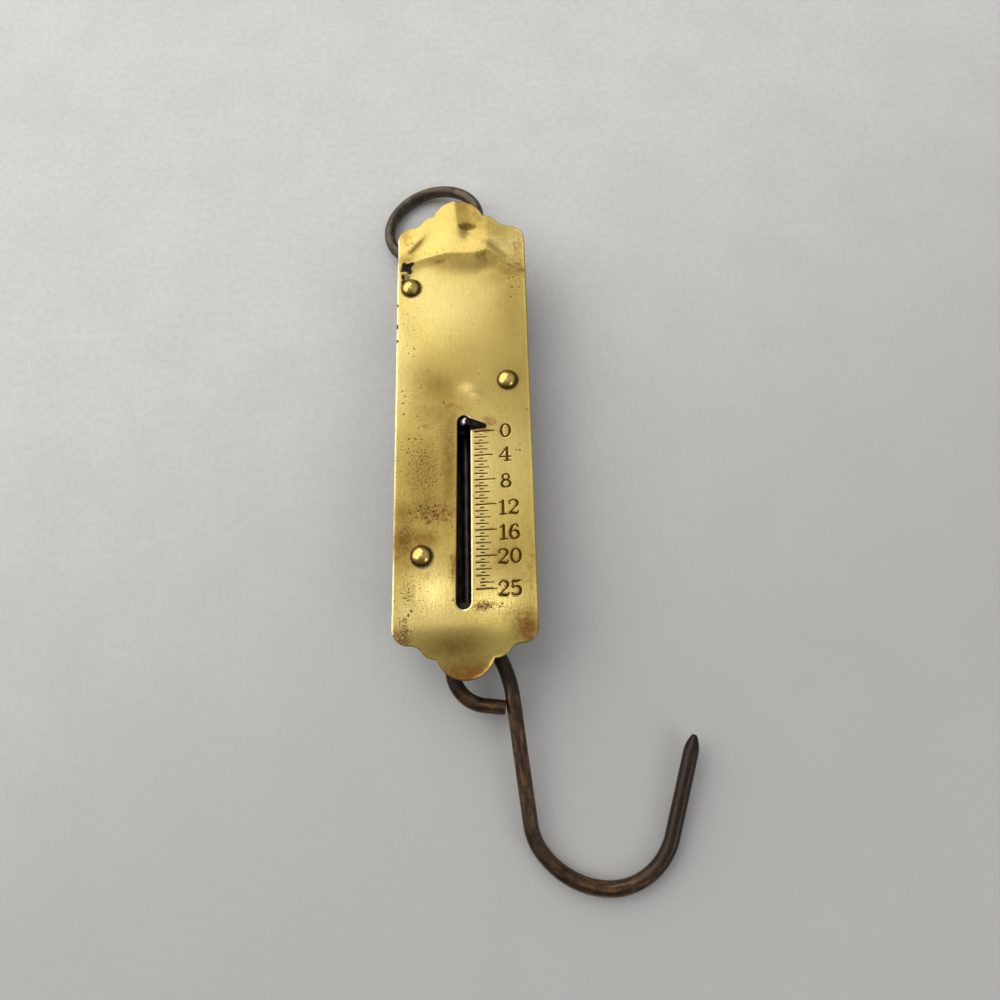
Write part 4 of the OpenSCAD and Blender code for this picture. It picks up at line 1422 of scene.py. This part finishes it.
def make_pointer(material):
    """A blade filed to a ridge, the round knob on its head, and the pin down to the drawbar."""
    outline = pointer_outline()
    rings = [inset(outline, BREAK_IN)]
    rings += [arc(KNOB, radius, 0, 360, 32)[:-1] for radius in (KNOB_R, 1.06, 0.96, 0.8)]
    free = mesh_points(np.arange(-1, 6, BLADE_STEP), np.arange(-4, 0, BLADE_STEP))
    free = clear_of([outline, *rings], free[inside(outline, free)], 0.07)
    flat, triangles, where = cut_sheet([outline], rings, [], free)
    count = len(flat)
    faces = shell_faces(triangles, triangles, where, where, [outline], count)
    back = np.full(count, BLADE_BACK_Z)
    blade = [np.column_stack([flat, height]) for height in (blade_front(outline, flat), back)]

    pin, pin_faces = lathe(PIN_PROFILE, PIN_SIDES)
    pin[:, :2] += PIN
    faces += [tuple(i + 2 * count for i in face) for face in pin_faces]
    vertices = np.vstack([*blade, pin])
    piece = new_piece("pointer_blade", vertices, faces, [material], "drawbar", "pointer", 38)
    x, y = vertices[:, 0] - KNOB[0], vertices[:, 1] - KNOB[1]
    turned = np.degrees(np.arctan2(y, x)) % 360
    # Where the knob's left side gets its painted highlight
    bare_and_highlight = smoothstep(0.35, 0.7, np.hypot(x, y)) * smoothstep(105, 130, turned) * smoothstep(245, 215, turned)
    store(piece, "bare_and_highlight", bare_and_highlight * (vertices[:, 2] > BLADE_Z))


# Softened copies of CAD nodes

SHARP_ANGLE = 35


def softened(node, body, material, width):
    """A copy of a CAD node with its edges broken, which stands for it."""
    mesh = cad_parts[node].data.copy()
    work = bmesh.new()
    work.from_mesh(mesh)
    bmesh.ops.remove_doubles(work, verts=work.verts, dist=1e-6)
    bmesh.ops.dissolve_limit(work, angle_limit=math.radians(1), verts=work.verts, edges=work.edges)
    work.to_mesh(mesh)
    work.free()
    mesh.materials.clear()
    mesh.materials.append(material)
    piece = placed(node + "_finish", mesh)
    bevel = piece.modifiers.new("edges", "BEVEL")
    bevel.width = width * MM
    bevel.segments = 2
    bevel.limit_method = "ANGLE"
    bevel.angle_limit = math.radians(SHARP_ANGLE)
    bpy.context.view_layer.update()
    depsgraph = bpy.context.evaluated_depsgraph_get()
    piece.data = bpy.data.meshes.new_from_object(piece.evaluated_get(depsgraph))
    piece.modifiers.clear()
    smoothed(piece.data, SHARP_ANGLE)
    declare(piece, body, node)


# Floor and light

FLOOR_HALF = 6.0
AIR_COLOUR = (0.97, 0.985, 1.0, 1.0)
SEEN_STRENGTH = 0.6
LAMP_COLOUR = (1.0, 0.985, 0.955)
# A lamp's name, its place and size in metres, and its energy
LAMPS = [
    ("window", (-0.636, 0.497, 0.59), (1.8, 1.1), 9.7),
    ("ceiling_lamp", (-0.056, 0.133, 0.686), (0.16, 0.10), 0.10),
    ("side_lamp", (0.46, -0.38, 0.37), (0.3, 0.3), 0.6),
]


def make_stage(material):
    mesh = bpy.data.meshes.new("floor")
    corners = [(-1, -1), (1, -1), (1, 1), (-1, 1)]
    mesh.from_pydata([(FLOOR_HALF * x, FLOOR_HALF * y, 0) for x, y in corners], [], [(0, 1, 2, 3)])
    mesh.materials.append(material)
    floor = placed("floor", mesh)


def make_world():
    """A soft room, darker low down and towards the viewer. The camera sees plain pale air instead."""
    world = bpy.data.worlds.new("studio")
    tree = Tree(world)
    direction = tree.add("TexCoord", {}, "Generated")
    height = tree.step(tree.add("SeparateXYZ", {0: direction}, "Z"), 0.0, 0.75, 0.22, 0.52)
    depth = tree.step(tree.add("SeparateXYZ", {0: direction}, "Y"), -0.75, -0.05, 0.3, 1.0)
    seen = tree.add("LightPath", {}, "Is Camera Ray")
    strength = {0: seen, 2: tree.times(height, depth), 3: SEEN_STRENGTH}
    background = tree.nodes["Background"]
    tree.put(background.inputs["Color"], AIR_COLOUR)
    tree.put(background.inputs["Strength"], tree.add("Mix", strength, data_type="FLOAT"))
    bpy.context.scene.world = world


def make_lamp(name, place, size, energy):
    """A soft rectangular light that faces the balance."""
    data = bpy.data.lights.new(name, "AREA")
    data.shape = "RECTANGLE"
    data.size, data.size_y = size
    data.energy = energy
    data.color = LAMP_COLOUR
    lamp = placed(name, data)
    lamp.location = place
    lamp.rotation_euler = (-Vector(place)).to_track_quat("-Z", "Y").to_euler()


make_camera()
make_stage(floor_felt())
make_world()
for lamp in LAMPS:
    make_lamp(*lamp)

# Dark, light and warm or rusty tones of each steel, then its numbers
ring_steel = wire_steel("ring_steel", rgb(54, 46, 38), rgb(98, 86, 70), rgb(112, 82, 62), 0.6, 0.36)
hook_steel = wire_steel("hook_steel", rgb(46, 33, 24), rgb(78, 58, 42), rgb(190, 146, 86), 0.56, 0.33)
spring_steel = wire_steel("spring_steel", rgb(60, 56, 54), rgb(120, 116, 112), rgb(120, 84, 56), 0.5, 0.4)
dark_steel = plain_steel("dark_steel", rgb(46, 41, 38), rgb(84, 78, 72), rgb(78, 46, 28), 0.42)
inner_brass = plain_steel("inner_brass", rgb(150, 118, 58), rgb(196, 164, 92), rgb(88, 58, 30), 0.38)
ALONG_Y = (1, 0.15, 1)
case_steel = plain_steel(
    "case_steel", rgb(74, 68, 62), rgb(120, 112, 102), rgb(92, 56, 34), 0.46, ALONG_Y,
)
# A lighter copy of the dark steel for the drawbar, painted light so that it shows in the shaded slot
lit_rod_steel = plain_steel(
    "lit_rod_steel", rgb(78, 73, 70), rgb(110, 104, 100), rgb(70, 60, 52), 0.42, ALONG_Y,
)

make_face_plate(face_brass(), engraved_brown(), black_crust())
for index, place in enumerate(RIVETS, 1):
    make_rivet(index, place, rivet_brass())
make_hook(hook_steel)
make_ring(ring_steel)
make_spring(spring_steel)
make_pointer(pointer_blue())

for node, body, material, slot, width in [
    ("back_case", "case", case_steel, "case_steel", 0.12),
    ("rivet_washers", "case", inner_brass, "inner_brass", 0.08),
    ("head_block", "case", inner_brass, "inner_brass", 0.12),
    ("head_block_pins", "case", dark_steel, "dark_steel", 0.05),
    ("suspension_eye", "case", dark_steel, "dark_steel", 0.05),
    ("eye_nut", "case", dark_steel, "dark_steel", 0.15),
    ("eye_lock_nut", "case", dark_steel, "dark_steel", 0.15),
    ("upper_spring_plug", "case", inner_brass, "inner_brass", 0.1),
    # The lower spring plug takes the dark steel as painted shade, where it shows through the slot
    ("lower_spring_plug", "drawbar", dark_steel, "dark_steel", 0.1),
    ("drawbar", "drawbar", lit_rod_steel, "dark_steel", 0.05),
    ("drawbar_nut", "drawbar", dark_steel, "dark_steel", 0.15),
    # The guide block's dark steel stands for the shade at the slot's lower end
    ("guide_block", "case", dark_steel, "dark_steel", 0.12),
    ("guide_block_pins", "case", dark_steel, "dark_steel", 0.05),
]:
    softened(node, body, material, width)

bpy.context.scene.view_settings.view_transform = "Standard"
